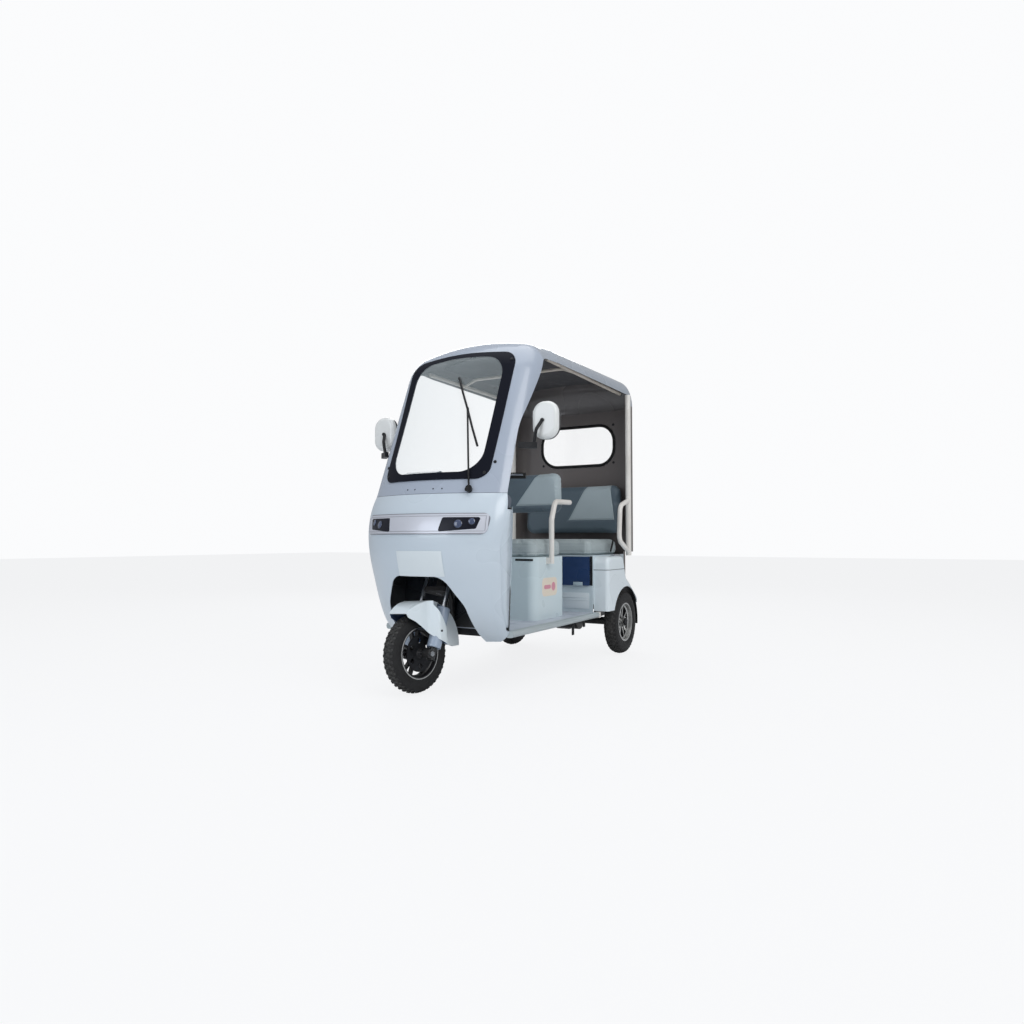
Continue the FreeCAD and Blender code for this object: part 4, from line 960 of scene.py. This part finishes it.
for x, foot in ((-0.424, 0.156), (-0.600, 0.190)):
    both_slabs(hangers, (x - 0.016, 0.252, foot), (x + 0.016, 0.258, 0.262), 0.002)
piece("floor_hangers", hangers, "body", frame_black)

# %% [markdown]
# The wheels are held by nuts. The front axle stands turned with the parked steering, so its nuts
# are built on the straight wheel and turned by the same matrix as the tyre. The rear hubs carry a
# cap and five nuts, which turn with their wheel.
# %% Hubs and nuts
for wheel, side in (("right", -1), ("left", 1)):
    nuts = bmesh.new()
    end = parked @ (front_hub + Vector((0, side * 0.1175, 0)))
    out = parked.to_3x3() @ Vector((0, side, 0))
    peg(nuts, end, out, 0.0135, 0.007, 6, 0.0012)
    peg(nuts, end + out * 0.006, out, 0.006, 0.005, 20, 0.001)
    piece("front_axle_nut_" + wheel, nuts, "steering", steel)
    start = (rear_hub.x + 0.024, side * 0.8, rear_hub.z)
    face = max(abs(touch("rear_rim_" + wheel, start, (0, -side, 0))[0].y), 0.4595)
    caps = bmesh.new()
    peg(caps, (rear_hub.x, side * (face - 0.0004), rear_hub.z), (0, side, 0), 0.027, 0.006, 40, 0.0025)
    for turn in range(5):
        spot = Matrix.Rotation(turn * math.tau / 5, 3, "Y") @ Vector((0, 0, 0.019))
        foot = (rear_hub.x + spot.x, side * (face + 0.005), rear_hub.z + spot.z)
        peg(caps, foot, (0, side, 0), 0.0045, 0.003, 6)
    piece("rear_hub_cap_" + wheel, caps, "rear_wheel_" + wheel, dark_steel)
    print(wheel, "hub face at", round(face, 4))
bolts = bmesh.new()
for x, z in ((0.854, 0.314), (0.838, 0.378)):
    for side in (-1, 1):
        button(bolts, "front_fender", (x, side * 0.4, z), (0, -side, 0), 0.0055, 0.004)
piece("fender_bolts", bolts, "steering", black_trim)

# %% [markdown]
# The controls end the list: a display on the dashboard, switch housings at the inner ends of the
# grips, ball joints at the mirror stems and the wiper's cap. A grip's own axis is read from its
# mesh as the direction in which its points spread most, so the housings line up with the bar.
# %% Controls
display_face = even("display_face", paint(16, 20, 26), paint(26, 32, 40), (30.0,),
                    (40.0, 2.0, 0.1, 0.12), Coat_Weight=0.8)
point, normal = touch("dashboard", (0.60, 0, 1.3), (0, 0, -1))
seat = Matrix.Translation(point) @ normal.to_track_quat("Z", "Y").to_matrix().to_4x4()
display = bmesh.new()
slab(display, (-0.062, -0.034, -0.002), (0.062, 0.034, 0.008), 0.004, 3, seat)
piece("display", display, "body", display_face)
points = np.array([vert.co[:] for vert in nodes["grips"].data.vertices])
housings = bmesh.new()
for side in (-1, 1):
    own = points[points[:, 1] * side > 0]
    centre = own.mean(axis=0)
    along = np.linalg.svd(own - centre, full_matrices=False)[2][0]
    along = along * -np.sign(along[1]) * side
    inner = centre + along * ((own - centre) @ along).max()
    peg(housings, Vector(inner) + Vector(along) * 0.001, along, 0.0205, 0.034, 32, 0.003)
piece("switch_housings", housings, "steering", black_trim)
joints = bmesh.new()
for side in (-1, 1):
    bmesh.ops.create_uvsphere(joints, u_segments=24, v_segments=16, radius=0.0105,
                              matrix=Matrix.Translation((0.5375, side * 0.526, 1.395)))
point, normal = touch("wiper", (1.4, 0.254, 1.024), (-1, 0, 0))
peg(joints, point - normal * 0.001, normal, 0.0105, 0.006, 24, 0.002)
piece("stem_joints", joints, "body", black_trim)

# %% [markdown]
# Lights: four large soft lamps and a pale world, as in a photo studio, at a plain level where a
# colour renders about as it is written. The floor and the world look white to the camera but light
# the vehicle only mildly, so that pale panels keep their shading.
# %% Studio
def lamp(name, place, target, size, power, colour=(1, 1, 1)):
    data = bpy.data.lights.new(name, "AREA")
    data.shape = "RECTANGLE"
    data.size, data.size_y = size
    data.energy = power
    data.color = colour
    holder = bpy.data.objects.new(name, data)
    holder.location = place
    holder.rotation_euler = (Vector(target) - Vector(place)).to_track_quat("-Z", "Y").to_euler()
    bpy.context.scene.collection.objects.link(holder)


lamp("key", (2.5, 5.0, 4.2), (0, 0, 0.9), (4.0, 3.0), 135)
lamp("front", (5.5, -1.0, 2.6), (0.3, 0, 0.8), (3.0, 2.5), 62, (0.88, 0.93, 1.0))
lamp("back", (-4.5, -3.0, 3.8), (0, 0, 0.9), (3.5, 2.5), 85)
lamp("top", (0.2, 0.4, 5.2), (0, 0, 0), (4.5, 4.5), 80)

world = bpy.data.worlds.new("studio")
world.use_nodes = True
bpy.context.scene.world = world
tree = world.node_tree
seen = tree.nodes.new("ShaderNodeLightPath")
choice = tree.nodes.new("ShaderNodeMixShader")
tree.links.new(seen.outputs["Is Camera Ray"], choice.inputs[0])
lit_and_seen = ((tree.nodes["Background"], (0.93, 0.95, 0.98, 1), 0.42),
                (tree.nodes.new("ShaderNodeBackground"), (0.965, 0.97, 0.98, 1), 1.0))
for number, (side, colour, strength) in enumerate(lit_and_seen, 1):
    side.inputs["Color"].default_value = colour
    side.inputs["Strength"].default_value = strength
    tree.links.new(side.outputs[0], choice.inputs[number])
tree.links.new(choice.outputs[0], tree.nodes["World Output"].inputs["Surface"])

ground = bmesh.new()
bmesh.ops.create_grid(ground, x_segments=2, y_segments=2, size=30)
ground_mesh = bpy.data.meshes.new("studio_floor")
ground.to_mesh(ground_mesh)
ground.free()
studio_floor = bpy.data.objects.new("studio_floor", ground_mesh)
bpy.context.scene.collection.objects.link(studio_floor)
paper = Finish("studio_paper", Roughness=0.5)
paper.wire("Base Color", paper.mix(paper.noise(0.6, 2.0), (0.80, 0.81, 0.83, 1), (0.84, 0.85, 0.87, 1)))
glow = paper.add("Emission", None, {"Color": (0.97, 0.975, 0.985, 1), "Strength": 1.0})
rays = paper.add("LightPath").socket.node
camera_ray = Wire(paper, rays.outputs["Is Camera Ray"])
shown = camera_ray.most(Wire(paper, rays.outputs["Is Transmission Ray"])) * 0.86
blend = paper.add("MixShader", None, {0: shown, 1: Wire(paper, paper.shader.outputs[0]), 2: glow})
paper.links.new(blend.socket, paper.nodes["Material Output"].inputs["Surface"])
ground_mesh.materials.append(paper.material)
bpy.context.scene.view_settings.view_transform = "Standard"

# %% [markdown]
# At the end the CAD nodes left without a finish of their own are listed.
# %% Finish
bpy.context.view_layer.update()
stands_in = set("bench_back driver_back front_tyre rear_tyre_left rear_tyre_right".split())
bare = [name for name, node in nodes.items() if name not in stands_in
        and (not node.data.materials or len(node.data.materials[0].node_tree.nodes) < 4)]
print("without a finish of their own:", bare)
